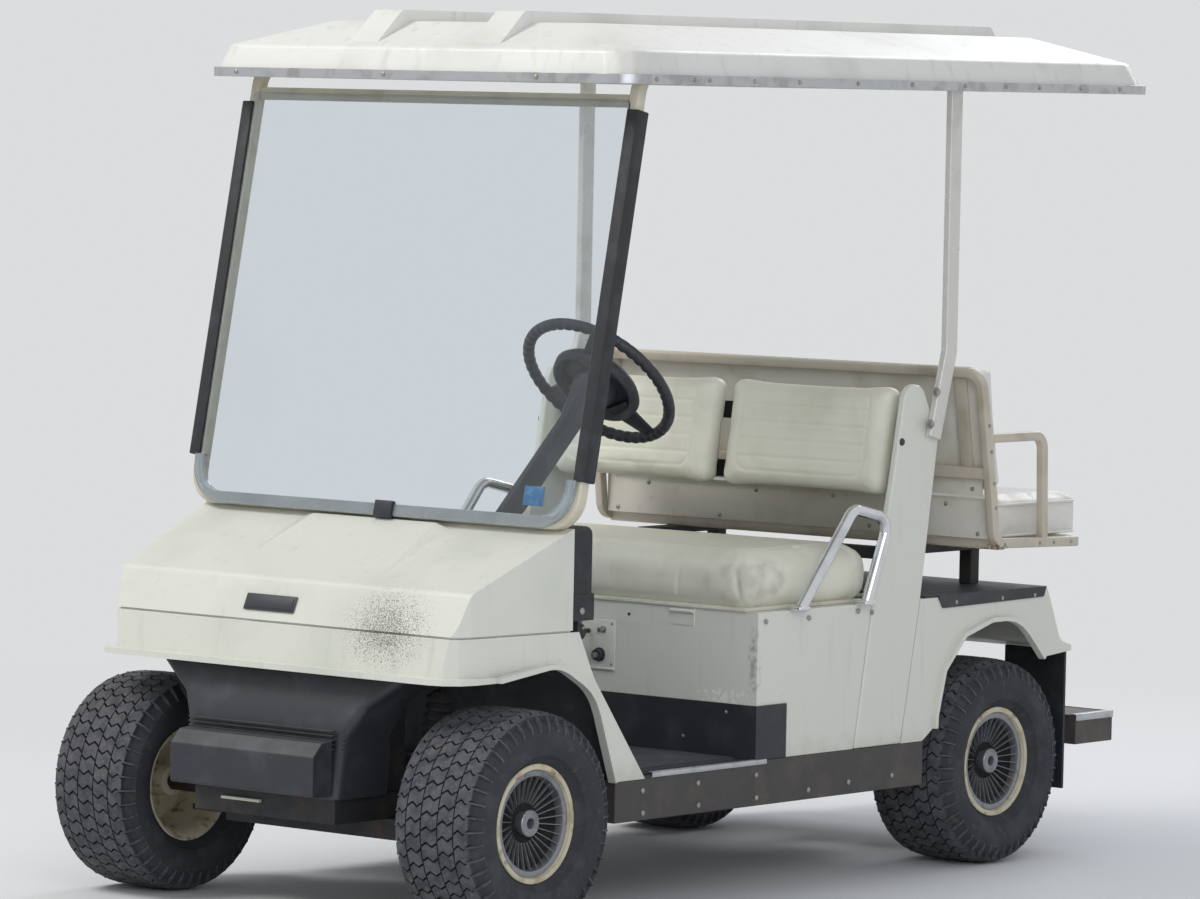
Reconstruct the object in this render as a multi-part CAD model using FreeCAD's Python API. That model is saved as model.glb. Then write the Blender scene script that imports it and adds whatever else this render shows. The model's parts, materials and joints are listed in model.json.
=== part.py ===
import FreeCAD, Part
import math
import os

# Golf cart with a rear-facing second seat, in millimetres.
# X is across the cart with its left side at +X, -Y is forward and Z is up from the ground.
# Stations along Y are counted from the front axle and moved to the middle of the cart at the end.
# Round pieces that turn on nothing are drawn with flat sides, their radius measured to the flats.

V = FreeCAD.Vector
X_AXIS = V(1, 0, 0)

# Wheels and axles
WHEELBASE = 1640.0
TYRE_RADIUS = 225.0
TYRE_WIDTH = 216.0
RIM_SEAT_RADIUS = 104.0
RIM_FLANGE_RADIUS = 118.5
RIM_WIDTH = 170.0
RIM_WALL = 4.5
WHEEL_SIDES = 15
HUB_RADIUS = 30.0
HUB_INNER_X = -32.0
HUB_OUTER_X = 44.0
SPINDLE_RADIUS = 12.5
AXLE_RADIUS = 32.0
BRAKE_RADIUS = 86.0
SPRING_SEAT_HEIGHT = 36.0
SPRING_SEAT_INSET = 177.0
RUNNING_CLEARANCE = 0.3
COVER_RADIUS = 98.0
COVER_DEPTH = 14.0
COVER_BLADES = 18
BLADE_THICKNESS = 2.4
COVER_BOSS_RADIUS = 17.0
SHOULDER_LUGS = 15
LUG_DEPTH = 8.0
FRONT_WHEEL_INSET = 33.0
REAR_WHEEL_INSET = 91.0

# Steering
KINGPIN_TO_WHEEL = 132.0
KINGPIN_RADIUS = 11.0
KINGPIN_HEIGHT = 74.0
KNUCKLE_RADIUS = 21.0
YOKE_THICKNESS = 12.0
STEERING_ARM_LENGTH = 115.0
STEERING_ARM_WIDTH = 24.0
TIE_ROD_RADIUS = 9.0
TIE_ROD_DROP = 52.0
BALL_PIN_RADIUS = 6.0
COLUMN_X = 250.0
STEERING_WHEEL_Y = 540.0
STEERING_WHEEL_Z = 1075.0
STEERING_WHEEL_RADIUS = 177.0
STEERING_GRIP_RADIUS = 12.5
COLUMN_TILT = 43.2
COLUMN_RADIUS = 24.0
COLUMN_LENGTH = 390.0
WHEEL_DISH = 48.0

# Chassis and floor
FLOOR_Z = 290.0
FLOOR_THICKNESS = 8.0
MAT_THICKNESS = 4.0
RAIL_INSET = 330.0
RAIL_WIDTH = 40.0
RAIL_Z = 205.0
RAIL_HEIGHT = 50.0
RAIL_KICK = 87.0
TOWER_FRONT_Z = 486.0
TOWER_REAR_Z = 520.0
TOWER_PLATE = 14.0
TOWER_LENGTH = 62.0
SEAT_GAP = 0.3
FRAME_FRONT = -190.0
BODY_HALF_WIDTH = 500.0
PANEL = 6.0
SILL_Z = 195.0
SILL_WIDTH = 42.0
SILL_FRONT = 312.0

# Front cowl
NOSE_Y = -165.0
NOSE_INSET = 32.0
NOSE_CORNER = 60.0
LIP_Z = 503.0
LIP_THICKNESS = 12.0
LIP_REACH = 26.0
SEAM_Y = -152.0
SEAM_Z = 592.0
SEAM_GAP = 4.0
HOOD_FRONT_Y = -113.0
HOOD_FRONT_Z = 680.0
HOOD_REAR_Y = 168.0
HOOD_REAR_Z = 800.0
BAND_WIDTH = 60.0
BAND_LENGTH = 170.0
DASH_DEPTH = 150.0
DASH_SHELL = 6.0
DASH_END_TAPER = 62.0
TOE_Y = 238.0
TOE_TOP_Z = 612.0
LEG_FRONT_Y = 302.0
LEG_REAR_Y = 408.0
RISE_HALF_WIDTH = 197.0
RISE_HEIGHT = 12.0
RISE_WALL = 38.0
LEG_Z = 280.0
APRON_INSET = 296.0
APRON_FRONT_Y = -204.0
APRON_BACK_Y = -36.0
BUMPER_FRONT = -262.0
BUMPER_LOW_Z = 264.0
BUMPER_EDGE_Z = 345.0
BUMPER_TOP_Z = 374.0
BUMPER_INSET = 10.0

# Windscreen and canopy
SCREEN_FOOT_Y = 150.0
SCREEN_TOP_Y = 322.0
SCREEN_THICKNESS = 4.0
HOOP_RADIUS = 14.0
TUBE_SIDES = 8
HOOP_OUTSET = 15.0
HOOP_CORNER = 80.0
CANOPY_Z = 1690.0
CANOPY_OVERHANG = 66.0
CANOPY_AHEAD = 111.0
CANOPY_BEHIND_AXLE = 433.0
CANOPY_LIP_INSET = 25.0
CANOPY_SIDE_HEIGHT = 67.0
CANOPY_SLOPE_WIDTH = 196.0
CANOPY_RISE = 55.0
RIDGE_HEIGHT = 23.0
CANOPY_WALL = 6.0
STRIP_HEIGHT = 20.0
STRIP_THICKNESS = 4.0
POST_WIDTH = 40.0
POST_DEPTH = 16.0
PILLAR_OUTSET = 2.0
PILLAR_THICKNESS = 17.0

# Seats
KICK_TO_AXLE = 865.0
SEAT_BASE_Z = 598.0
CUSHION_OVERHANG = 25.0
CUSHION_DEPTH = 432.0
CUSHION_HEIGHT = 127.0
CUSHION_INSET = 22.0
SEAT_HINGE_RADIUS = 4.5
SEAT_HINGE_DROP = 8.0
BACKREST_Z = 820.0
BACKREST_HEIGHT = 250.0
BACKREST_SETBACK = 453.0
BACKREST_THICKNESS = 75.0
BACKREST_LEAN = 10.0
BACKREST_GAP = 20.0
BACKREST_INSET = 34.0
REAR_CUSHION_AHEAD = 50.0
REAR_CUSHION_DEPTH = 315.0
REAR_CUSHION_HEIGHT = 98.0
REAR_FRAME_Z = 718.0
REAR_FRAME_OUTSET = 48.0
FRAME_TUBE = 22.0
HIP_RAIL_OUTSET = 14.0
HIP_RAIL_RADIUS = 10.0

# Rear body
DECK_Z = 598.0
DECK_FRONT = -280.0
DECK_REAR = 175.0
COVER_THICKNESS = 4.7
FENDER_TAIL = 271.0
FENDER_TAIL_Z = 454.0
FLAP_WIDTH = 163.0
FLAP_LENGTH = 310.0
STEP_BEHIND_AXLE = 360.0
STEP_DEPTH = 145.0
STEP_INSET = 45.0
STEP_Z = 233.0
STEP_HEIGHT = 66.0

# Places worked out from the sizes above
FRONT_WHEEL_X = BODY_HALF_WIDTH - FRONT_WHEEL_INSET
REAR_WHEEL_X = BODY_HALF_WIDTH - REAR_WHEEL_INSET
KINGPIN_X = FRONT_WHEEL_X - KINGPIN_TO_WHEEL
NOSE_HALF_WIDTH = BODY_HALF_WIDTH - NOSE_INSET
HOOP_HALF_WIDTH = BODY_HALF_WIDTH + HOOP_OUTSET
CANOPY_HALF_WIDTH = HOOP_HALF_WIDTH + CANOPY_OVERHANG
PILLAR_OUTER_X = BODY_HALF_WIDTH + PILLAR_OUTSET
PILLAR_INNER_X = PILLAR_OUTER_X - PILLAR_THICKNESS
HIP_RAIL_X = BODY_HALF_WIDTH + HIP_RAIL_OUTSET
REAR_FRAME_X = BODY_HALF_WIDTH + REAR_FRAME_OUTSET
FLOOR_HALF_WIDTH = BODY_HALF_WIDTH - SILL_WIDTH - SEAT_GAP
RAIL_X = BODY_HALF_WIDTH - RAIL_INSET
APRON_HALF_WIDTH = BODY_HALF_WIDTH - APRON_INSET
RAIL_TOP = RAIL_Z + RAIL_HEIGHT
REAR_RAIL_Z = RAIL_Z + RAIL_KICK
REAR_RAIL_TOP = REAR_RAIL_Z + RAIL_HEIGHT
YOKE_HALF_HEIGHT = KINGPIN_HEIGHT / 2.0 + 1.0 + YOKE_THICKNESS
STEP_FRONT = WHEELBASE + STEP_BEHIND_AXLE
STEP_REAR = STEP_FRONT + STEP_DEPTH
FRAME_REAR = STEP_FRONT - 10.0
MIDDLE_Y = (BUMPER_FRONT + STEP_REAR) / 2.0
KICK_Y = WHEELBASE - KICK_TO_AXLE
CUSHION_FRONT = KICK_Y - CUSHION_OVERHANG
CUSHION_REAR = CUSHION_FRONT + CUSHION_DEPTH
CUSHION_Z = SEAT_BASE_Z + SEAT_GAP
BACKREST_Y = KICK_Y + BACKREST_SETBACK
POST_Y = KICK_Y + 635.0
HOOD_SLOPE = math.atan2(HOOD_REAR_Z - HOOD_FRONT_Z, HOOD_REAR_Y - HOOD_FRONT_Y)
SCREEN_FOOT_Z = (HOOD_REAR_Z - (HOOD_REAR_Y - SCREEN_FOOT_Y) * math.tan(HOOD_SLOPE)
                 + (HOOP_RADIUS / math.cos(math.pi / TUBE_SIDES) + SEAT_GAP) / math.cos(HOOD_SLOPE))
SCREEN_TOP_Z = CANOPY_Z - 22.0
HOOP_TOP_Z = CANOPY_Z + 26.0
CANOPY_LIP_Z = CANOPY_Z + CANOPY_SIDE_HEIGHT
CANOPY_TOP_Z = CANOPY_LIP_Z + CANOPY_RISE
RIDGE_TOP_Z = CANOPY_TOP_Z + RIDGE_HEIGHT
CANOPY_FRONT = SCREEN_TOP_Y - CANOPY_AHEAD
CANOPY_REAR = WHEELBASE + CANOPY_BEHIND_AXLE
DECK_TOP = DECK_Z + SEAT_GAP + COVER_THICKNESS
REAR_CUSHION_Z = REAR_FRAME_Z + SEAT_GAP


def block(x, y, z):
    """Box between the low and high values of each axis."""
    return Part.makeBox(x[1] - x[0], y[1] - y[0], z[1] - z[0], V(x[0], y[0], z[0]))


def side_block(side, x, y, z):
    """Box on one side of the cart, x given for the left side."""
    return block(sorted((side * x[0], side * x[1])), y, z)


def rod(start, end, radius):
    """True round bar between two points, for pins, shafts and bores."""
    along = end - start
    return Part.makeCylinder(radius, along.Length, start, along)


def skinned(rows, hollow=False):
    """Solid with flat faces between rows of corners, its ends closed or, when hollow, joined."""
    faces = []
    count = len(rows[0])
    for i in range(len(rows) if hollow else len(rows) - 1):
        here = rows[i]
        there = rows[(i + 1) % len(rows)]
        for k in range(count):
            n = (k + 1) % count
            faces.append(Part.Face(Part.makePolygon([here[k], here[n], there[n], there[k], here[k]])))
    if not hollow:
        faces += [Part.Face(Part.makePolygon(row + row[:1])) for row in (rows[0], rows[-1])]
    solid = Part.Solid(Part.Shell(faces))
    if solid.Volume < 0:
        solid.reverse()
    return solid


def corner_angles(sides):
    """Angles of a polygon's corners, its first flat facing down."""
    return [math.pi * (2 * k + 1) / sides for k in range(sides)]


def flat_sided(profile, sides, hollow):
    """Turned form about the X axis with flat sides, from (x, radius) points.

    A hollow form's points run round its section, a full one's from end to end."""
    rows = []
    for x, radius in profile:
        reach = radius / math.cos(math.pi / sides)
        rows.append([V(x, reach * math.sin(a), -reach * math.cos(a)) for a in corner_angles(sides)])
    return skinned(rows, hollow)


def set_along(shape, start, along):
    """Shape drawn along the X axis, set at a point and turned along a direction."""
    shape.Placement = FreeCAD.Placement(start, FreeCAD.Rotation(X_AXIS, along))
    return shape


def bar(start, end, radius, sides=10):
    """Round bar with flat sides between two points."""
    along = end - start
    return set_along(flat_sided([(0, radius), (along.Length, radius)], sides, False), start, along)


def fused(shapes):
    """One solid from touching shapes, with the seams between them removed."""
    whole = shapes[0].multiFuse(shapes[1:]) if len(shapes) > 1 else shapes[0]
    return whole.removeSplitter()


def mirrored(shape):
    """The same piece on the cart's other side."""
    return shape.mirror(V(0, 0, 0), X_AXIS)


def pair(shape):
    """A left piece and its mirror image, as one compound."""
    return Part.makeCompound([shape, mirrored(shape)])


def bend_at(before, corner, after, radius):
    """Where a bend's arc starts and ends at a corner, and its centre."""
    back = (before - corner).normalize()
    ahead = (after - corner).normalize()
    half = 0.5 * math.acos(max(-1.0, min(1.0, back.dot(ahead))))
    reach = radius / math.tan(half)
    centre = corner + (back + ahead).normalize() * (radius / math.sin(half))
    return corner + back * reach, corner + ahead * reach, centre


def face(points, radii):
    """Flat face, each corner that has a radius turned in three equal chords."""
    ring = bent_run(points[-1:] + points + points[:1], [0] + radii + [0])[1:-1]
    return Part.Face(Part.makePolygon(ring + ring[:1]))


def side_prism(corners, x):
    """Side outline of (y, z, corner radius) rows, pushed from x low to x high."""
    points = [V(x[0], y, z) for y, z, radius in corners]
    return face(points, [row[2] for row in corners]).extrude(V(x[1] - x[0], 0, 0))


def plan_prism(corners, z):
    """Plan outline of (x, y, corner radius) rows, pushed from z low to z high."""
    points = [V(x, y, z[0]) for x, y, radius in corners]
    return face(points, [row[2] for row in corners]).extrude(V(0, 0, z[1] - z[0]))


def bent_run(points, radii):
    """Points of a run in one plane, each corner that has a radius turned in three equal chords."""
    run = [points[0]]
    for i in range(1, len(points) - 1):
        if radii[i] <= 0:
            run.append(points[i])
            continue
        first, last, centre = bend_at(points[i - 1], points[i], points[i + 1], radii[i])
        arm = first - centre
        turn = arm.getAngle(last - centre)
        axis = arm.cross(last - centre)
        for step in range(4):
            run.append(centre + FreeCAD.Rotation(axis, math.degrees(turn * step / 3)).multVec(arm))
    return run + [points[-1]]


def swept(points, radii, section):
    """Section of (across, up) points, carried along a run with mitred joints."""
    run = bent_run(points, radii)
    along = (run[1] - run[0]).normalize()
    across = X_AXIS if abs(along.x) < 0.7 else V(0, 1, 0)
    up = along.cross(across).normalize()
    across = up.cross(along).normalize()
    row = [run[0] + across * a + up * b for a, b in section]
    rows = [row]
    for i in range(1, len(run)):
        along = (run[i] - run[i - 1]).normalize()
        ahead = (run[i + 1] - run[i]).normalize() if i < len(run) - 1 else along
        mitre = (along + ahead).normalize()
        row = [p + along * ((run[i] - p).dot(mitre) / along.dot(mitre)) for p in row]
        rows.append(row)
    return skinned(rows)


def tube(points, radius, bend, sides=TUBE_SIDES):
    """Round tube with flat sides along straight runs and bends."""
    reach = radius / math.cos(math.pi / sides)
    ring = [(reach * math.cos(a), reach * math.sin(a)) for a in corner_angles(sides)]
    return swept(points, [bend] * len(points), ring)


def flat_tube(points, width, depth, bend):
    """Flat-sided tube in a side view: width lies across the cart, depth in the view."""
    w = width / 2.0
    d = depth / 2.0
    return swept(points, [bend] * len(points), [(w, d), (-w, d), (-w, -d), (w, -d)])


def rounded_rectangle(half_width, y, z, corner):
    """Corners of a rectangle in plan at one height, each corner turned in three equal chords."""
    x = half_width - corner
    low = y[0] + corner
    high = y[1] - corner
    centres = ((x, high, 0), (-x, high, 90), (-x, low, 180), (x, low, 270))
    points = []
    for centre_x, centre_y, first in centres:
        for step in range(4):
            angle = math.radians(first + 30 * step)
            points.append(V(centre_x + corner * math.cos(angle), centre_y + corner * math.sin(angle), z))
    return points


def tyre():
    """Turf tyre about the X axis: carcass, centre rib and a row of lugs on each shoulder."""
    half = TYRE_WIDTH / 2.0
    carcass = TYRE_RADIUS - LUG_DEPTH
    bead = RIM_WIDTH / 2.0 - RIM_WALL - SEAT_GAP
    rib = 0.42 * half
    side = [(bead, RIM_SEAT_RADIUS + SEAT_GAP), (bead, RIM_FLANGE_RADIUS + SEAT_GAP),
            (half, 0.68 * TYRE_RADIUS), (0.96 * half, 0.87 * TYRE_RADIUS), (rib, carcass), (rib, TYRE_RADIUS)]
    body = flat_sided(side + [(-x, r) for x, r in reversed(side)], WHEEL_SIDES, True)
    pitch = 360.0 / SHOULDER_LUGS
    width = 0.44 * math.radians(pitch) * TYRE_RADIUS
    face_radius = TYRE_RADIUS - 3
    outline = [(rib + 5, carcass - 14), (rib + 5, face_radius), (0.80 * half, face_radius),
               (0.95 * half, 0.86 * TYRE_RADIUS)]
    lugs = []
    for side_sign, phase in ((1, 0.25), (-1, 0.75)):
        points = [V(side_sign * x, -width / 2, r) for x, r in outline]
        lug = face(points, [0] * len(points)).extrude(V(0, width, 0))
        for i in range(SHOULDER_LUGS):
            copy = lug.copy()
            copy.rotate(V(0, 0, 0), X_AXIS, (i + phase) * pitch)
            lugs.append(copy)
    return body.multiFuse(lugs)


def rim():
    """Pressed steel wheel with its hub, open on the inner side."""
    half = RIM_WIDTH / 2.0
    inner = RIM_SEAT_RADIUS - RIM_WALL
    flange = half - RIM_WALL
    outer = [(half, RIM_FLANGE_RADIUS), (flange, RIM_FLANGE_RADIUS), (flange, RIM_SEAT_RADIUS)]
    section = [(-half, inner), (half, inner)] + outer + [(-x, r) for x, r in reversed(outer)]
    barrel = flat_sided(section, WHEEL_SIDES, True)
    disc = flat_sided([(10, HUB_RADIUS - 2), (26, inner + 1), (26 + RIM_WALL, inner + 1),
                       (10 + RIM_WALL, HUB_RADIUS - 2)], WHEEL_SIDES, True)
    hub = flat_sided([(HUB_INNER_X, HUB_RADIUS), (HUB_OUTER_X, HUB_RADIUS)], WHEEL_SIDES, False)
    bore = rod(V(HUB_INNER_X - 1, 0, 0), V(HUB_OUTER_X + 1, 0, 0), SPINDLE_RADIUS + RUNNING_CLEARANCE)
    return fused([barrel, disc, hub]).cut(bore)


def hub_cover():
    """Wheel cover: thin turbine blades between an outer ring and a centre boss."""
    front = RIM_WIDTH / 2.0 - 6.0
    back = front - COVER_DEPTH
    plate = flat_sided([(back, COVER_RADIUS), (front, COVER_RADIUS)], COVER_BLADES, False)
    turn = math.pi / COVER_BLADES
    radial = V(0, math.sin(turn), math.cos(turn))
    across = V(0, math.cos(turn), -math.sin(turn))
    edge = [radial * r - across * (BLADE_THICKNESS / 2.0) for r in (COVER_BOSS_RADIUS + 1, COVER_RADIUS - 8)]
    outline = edge + [V(0, -p.y, p.z) for p in reversed(edge)]
    gap = face([p + V(back - 1, 0, 0) for p in outline], [0] * 4).extrude(V(COVER_DEPTH + 2, 0, 0))
    gaps = []
    for i in range(COVER_BLADES):
        copy = gap.copy()
        copy.rotate(V(0, 0, 0), X_AXIS, i * 360.0 / COVER_BLADES)
        gaps.append(copy)
    boss = flat_sided([(HUB_OUTER_X + 6, COVER_BOSS_RADIUS), (front + 2, COVER_BOSS_RADIUS)], 10, False)
    return plate.cut(Part.makeCompound(gaps)).fuse(boss)


def knuckle():
    """Left steering knuckle: barrel round the kingpin, stub axle and steering arm."""
    at = V(KINGPIN_X, 0, TYRE_RADIUS)
    half = KINGPIN_HEIGHT / 2.0
    barrel = bar(at - V(0, 0, half), at + V(0, 0, half), KNUCKLE_RADIUS, 8)
    stub = rod(at, V(FRONT_WHEEL_X + HUB_OUTER_X - 4, 0, TYRE_RADIUS), SPINDLE_RADIUS)
    collar = bar(at, V(FRONT_WHEEL_X + HUB_INNER_X - 6, 0, TYRE_RADIUS), 0.8 * KNUCKLE_RADIUS, 8)
    low = TYRE_RADIUS - half + 8
    arm = block((KINGPIN_X - STEERING_ARM_WIDTH / 2, KINGPIN_X + STEERING_ARM_WIDTH / 2),
                (0, STEERING_ARM_LENGTH + STEERING_ARM_WIDTH / 2), (low, low + 12))
    pin_head = V(KINGPIN_X, STEERING_ARM_LENGTH, low + 1)
    pin_foot = V(KINGPIN_X, STEERING_ARM_LENGTH, TYRE_RADIUS - TIE_ROD_DROP - 18)
    pin = rod(pin_foot, pin_head, BALL_PIN_RADIUS)
    bore = rod(at - V(0, 0, KINGPIN_HEIGHT), at + V(0, 0, KINGPIN_HEIGHT), KINGPIN_RADIUS + RUNNING_CLEARANCE)
    return fused([barrel, stub, collar, arm, pin]).cut(bore)


def tie_rod():
    """Track rod that holds the two steering arms parallel, its eyes on the arms' pins."""
    z = TYRE_RADIUS - TIE_ROD_DROP - 6
    ends = [V(s * KINGPIN_X, STEERING_ARM_LENGTH, z) for s in (-1, 1)]
    up = V(0, 0, 1)
    eyes = [bar(p - up * 10, p + up * 10, 2.5 * BALL_PIN_RADIUS, 8) for p in ends]
    holes = [rod(p - up * 20, p + up * 20, BALL_PIN_RADIUS + 0.5) for p in ends]
    return fused([bar(ends[0], ends[1], TIE_ROD_RADIUS, 8)] + eyes).cut(Part.makeCompound(holes))


def front_suspension():
    """Cross beam with an upright yoke each side that holds the kingpin."""
    beam_half = KINGPIN_X - 85
    parts = [block((-beam_half, beam_half), (-32, 32), (RAIL_Z - 42, RAIL_Z - SEAT_GAP))]
    low = TYRE_RADIUS - YOKE_HALF_HEIGHT
    high = TYRE_RADIUS + YOKE_HALF_HEIGHT
    upright_x = (KINGPIN_X - 100, KINGPIN_X - KNUCKLE_RADIUS - 10)
    jaw_x = (KINGPIN_X - 45, KINGPIN_X + 20)
    for side in (1, -1):
        parts.append(side_block(side, upright_x, (-17, 17), (low, high)))
        for z in (low, high - YOKE_THICKNESS):
            parts.append(side_block(side, jaw_x, (-20, 20), (z, z + YOKE_THICKNESS)))
        parts.append(rod(V(side * KINGPIN_X, 0, low), V(side * KINGPIN_X, 0, high), KINGPIN_RADIUS))
    return fused(parts)


def spring_unit(foot, head, radius, coils):
    """Damper with a rubber boot whose ribs follow the coils of the spring inside."""
    length = (head - foot).Length
    pitch = length * 0.8 / coils
    rows = [(0, 9), (0.1 * length, 9)]
    for i in range(coils):
        low = 0.1 * length + i * pitch
        rows += [(low + 0.1 * pitch, 0.74 * radius), (low + 0.5 * pitch, radius)]
    rows += [(0.9 * length, 0.6 * radius), (length, 9)]
    return set_along(flat_sided(rows, 6, False), foot, head - foot)


def springs():
    """Spring and damper units of both axles."""
    lift = SEAT_GAP + 1
    front_foot = V(KINGPIN_X - 63, 0, TYRE_RADIUS + YOKE_HALF_HEIGHT + lift)
    front = spring_unit(front_foot, V(KINGPIN_X - 35, 8, TOWER_FRONT_Z - lift), 30.0, 3)
    rear_x = REAR_WHEEL_X - SPRING_SEAT_INSET
    rear_foot = V(rear_x, WHEELBASE - 8, TYRE_RADIUS + SPRING_SEAT_HEIGHT + 1)
    rear = spring_unit(rear_foot, V(rear_x - 6, WHEELBASE - 30, TOWER_REAR_Z - lift), 34.0, 3)
    return Part.makeCompound([front, mirrored(front), rear, mirrored(rear)])


def chassis_frame():
    """Two lengthwise rails that rise over the rear axle, with cross members."""
    kick = WHEELBASE - 170
    line = [(FRAME_FRONT, RAIL_Z), (kick, RAIL_Z), (kick + 85, REAR_RAIL_Z), (FRAME_REAR, REAR_RAIL_Z),
            (FRAME_REAR, REAR_RAIL_TOP), (kick + 65, REAR_RAIL_TOP), (kick - 20, RAIL_TOP), (FRAME_FRONT, RAIL_TOP)]
    rail = side_prism([(y, z, 0) for y, z in line], (RAIL_X - RAIL_WIDTH / 2, RAIL_X + RAIL_WIDTH / 2))
    parts = [rail, mirrored(rail)]
    half = FLOOR_HALF_WIDTH - 2
    for y in (SILL_FRONT + 48, KICK_Y - 215, KICK_Y + 5, WHEELBASE - 350):
        parts.append(block((-half, half), (y, y + 40), (RAIL_TOP - 1, FLOOR_Z - FLOOR_THICKNESS - SEAT_GAP)))
    parts.append(block((-RAIL_X, RAIL_X), (FRAME_FRONT, FRAME_FRONT + 40), (RAIL_Z, RAIL_TOP)))
    parts.append(block((-RAIL_X, RAIL_X), (FRAME_REAR - 40, FRAME_REAR), (REAR_RAIL_Z, REAR_RAIL_TOP)))
    return fused(parts)


def spring_towers():
    """Towers on the rails that hold the heads of the spring units."""
    towers = []
    places = ((-30, RAIL_TOP, TOWER_FRONT_Z, KINGPIN_X - 5),
              (WHEELBASE - 60, REAR_RAIL_TOP, TOWER_REAR_Z, REAR_WHEEL_X - 147))
    for side in (1, -1):
        for y, foot, head, reach in places:
            run = (y, y + TOWER_LENGTH)
            post = side_block(side, (RAIL_X - 10, RAIL_X + 8), run, (foot + SEAT_GAP, head + TOWER_PLATE))
            arm = side_block(side, (RAIL_X - 10, reach), run, (head, head + TOWER_PLATE))
            towers.append(fused([post, arm]))
    return Part.makeCompound(towers)


def rear_axle():
    """Axle tube with the final-drive case, brake plates and stub axles."""
    at = V(0, WHEELBASE, TYRE_RADIUS)
    plate_x = REAR_WHEEL_X + HUB_INNER_X - 12
    parts = [bar(at - X_AXIS * plate_x, at + X_AXIS * plate_x, AXLE_RADIUS, 8)]
    case = flat_sided([(-70, 52), (-30, 88), (30, 88), (70, 52)], 10, False)
    case.translate(at + V(40, 0, 0))
    parts.append(case)
    for side in (1, -1):
        outward = X_AXIS * side
        parts.append(bar(at + outward * (plate_x - 12), at + outward * plate_x, BRAKE_RADIUS, 12))
        parts.append(rod(at, at + outward * (REAR_WHEEL_X + HUB_OUTER_X - 4), SPINDLE_RADIUS))
        seat_x = REAR_WHEEL_X - SPRING_SEAT_INSET
        parts.append(side_block(side, (seat_x - 20, seat_x + 20), (WHEELBASE - 30, WHEELBASE + 14),
                                (TYRE_RADIUS, TYRE_RADIUS + SPRING_SEAT_HEIGHT - SEAT_GAP)))
    return fused(parts)


def engine():
    """Engine under the front seat as one plain block with its cylinder."""
    case = block((-190, 165), (KICK_Y + 235, KICK_Y + 495), (RAIL_TOP + SEAT_GAP, 470))
    barrel = block((-150, 20), (KICK_Y + 155, KICK_Y + 275), (320, 450))
    return fused([case, barrel])


def cowl_form(inset):
    """Outer form of the nose, hood and front fenders, drawn in by inset at front, top and sides."""
    front = inset
    top = inset * 1.1
    profile = [
        (NOSE_Y + front, LIP_Z - (40 if inset else 0), 0),
        (SEAM_Y + front, SEAM_Z, 0),
        (HOOD_FRONT_Y + front, HOOD_FRONT_Z - top * 0.6, 24),
        (HOOD_REAR_Y + (40 if inset else 0), HOOD_REAR_Z - top + (17 if inset else 0), 0),
    ]
    if inset:
        profile += [(LEG_REAR_Y + 40, HOOD_REAR_Z - top + 17, 0), (LEG_REAR_Y + 40, LIP_Z - 300, 0),
                    (NOSE_Y + front, LIP_Z - 300, 0)]
    else:
        profile += [(HOOD_REAR_Y, SEAM_Z + 6, 0), (HOOD_REAR_Y + 20, SEAM_Z, 0), (TOE_Y, 496, 160),
                    (LEG_REAR_Y, LEG_Z, 0), (LEG_FRONT_Y, LEG_Z, 0), (TOE_Y, 462, 120), (120, 528, 110)]
    side = side_prism(profile, (-BODY_HALF_WIDTH, BODY_HALF_WIDTH))
    rear = LEG_REAR_Y + 60
    nose = NOSE_HALF_WIDTH - inset
    flank = BODY_HALF_WIDTH - inset
    corner = NOSE_CORNER - inset
    front_y = NOSE_Y - 1 + front
    outline = [(-nose, front_y, corner), (nose, front_y, corner), (flank, HOOD_REAR_Y, 0), (flank, rear, 0),
               (-flank, rear, 0), (-flank, HOOD_REAR_Y, 0)]
    return side.common(plan_prism(outline, (0, HOOD_REAR_Z + 100)))


def cowl_part(form, y_rear, z):
    """Slice of a cowl form between two heights, ahead of one station."""
    half = BODY_HALF_WIDTH + 10
    return form.common(block((-half, half), (NOSE_Y - 40, y_rear), z))


def cowl_lower():
    """Lower nose moulding with its outward lip, front fenders and the legs down to the sills."""
    shell = cowl_part(cowl_form(0).cut(cowl_form(PANEL)), LEG_REAR_Y + 10, (0, SEAM_Z))
    nose = NOSE_HALF_WIDTH + LIP_REACH
    front_y = NOSE_Y - LIP_REACH
    bend = NOSE_CORNER + 10
    outer = [(-nose, front_y, bend), (nose, front_y, bend), (nose, -60, 0), (-nose, -60, 0)]
    inner_x = NOSE_HALF_WIDTH - 3
    inner_y = NOSE_Y + 3
    inner = [(-inner_x, inner_y, NOSE_CORNER), (inner_x, inner_y, NOSE_CORNER), (inner_x, 0, 0), (-inner_x, 0, 0)]
    lip = plan_prism(outer, (LIP_Z, LIP_Z + LIP_THICKNESS)).cut(plan_prism(inner, (0, LIP_Z + 100)))
    arch = [(-62, LIP_Z + 6), (120, 531), (TOE_Y - 2, 468), (LEG_FRONT_Y + 4, LEG_Z + 1)]
    run = [V(BODY_HALF_WIDTH - 3, y, z) for y, z in arch]
    flare = swept(run, [0, 110, 120, 0], [(-6, -5), (14, -5), (14, 5), (-6, 5)])
    return fused([shell, lip, flare, mirrored(flare)])


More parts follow.
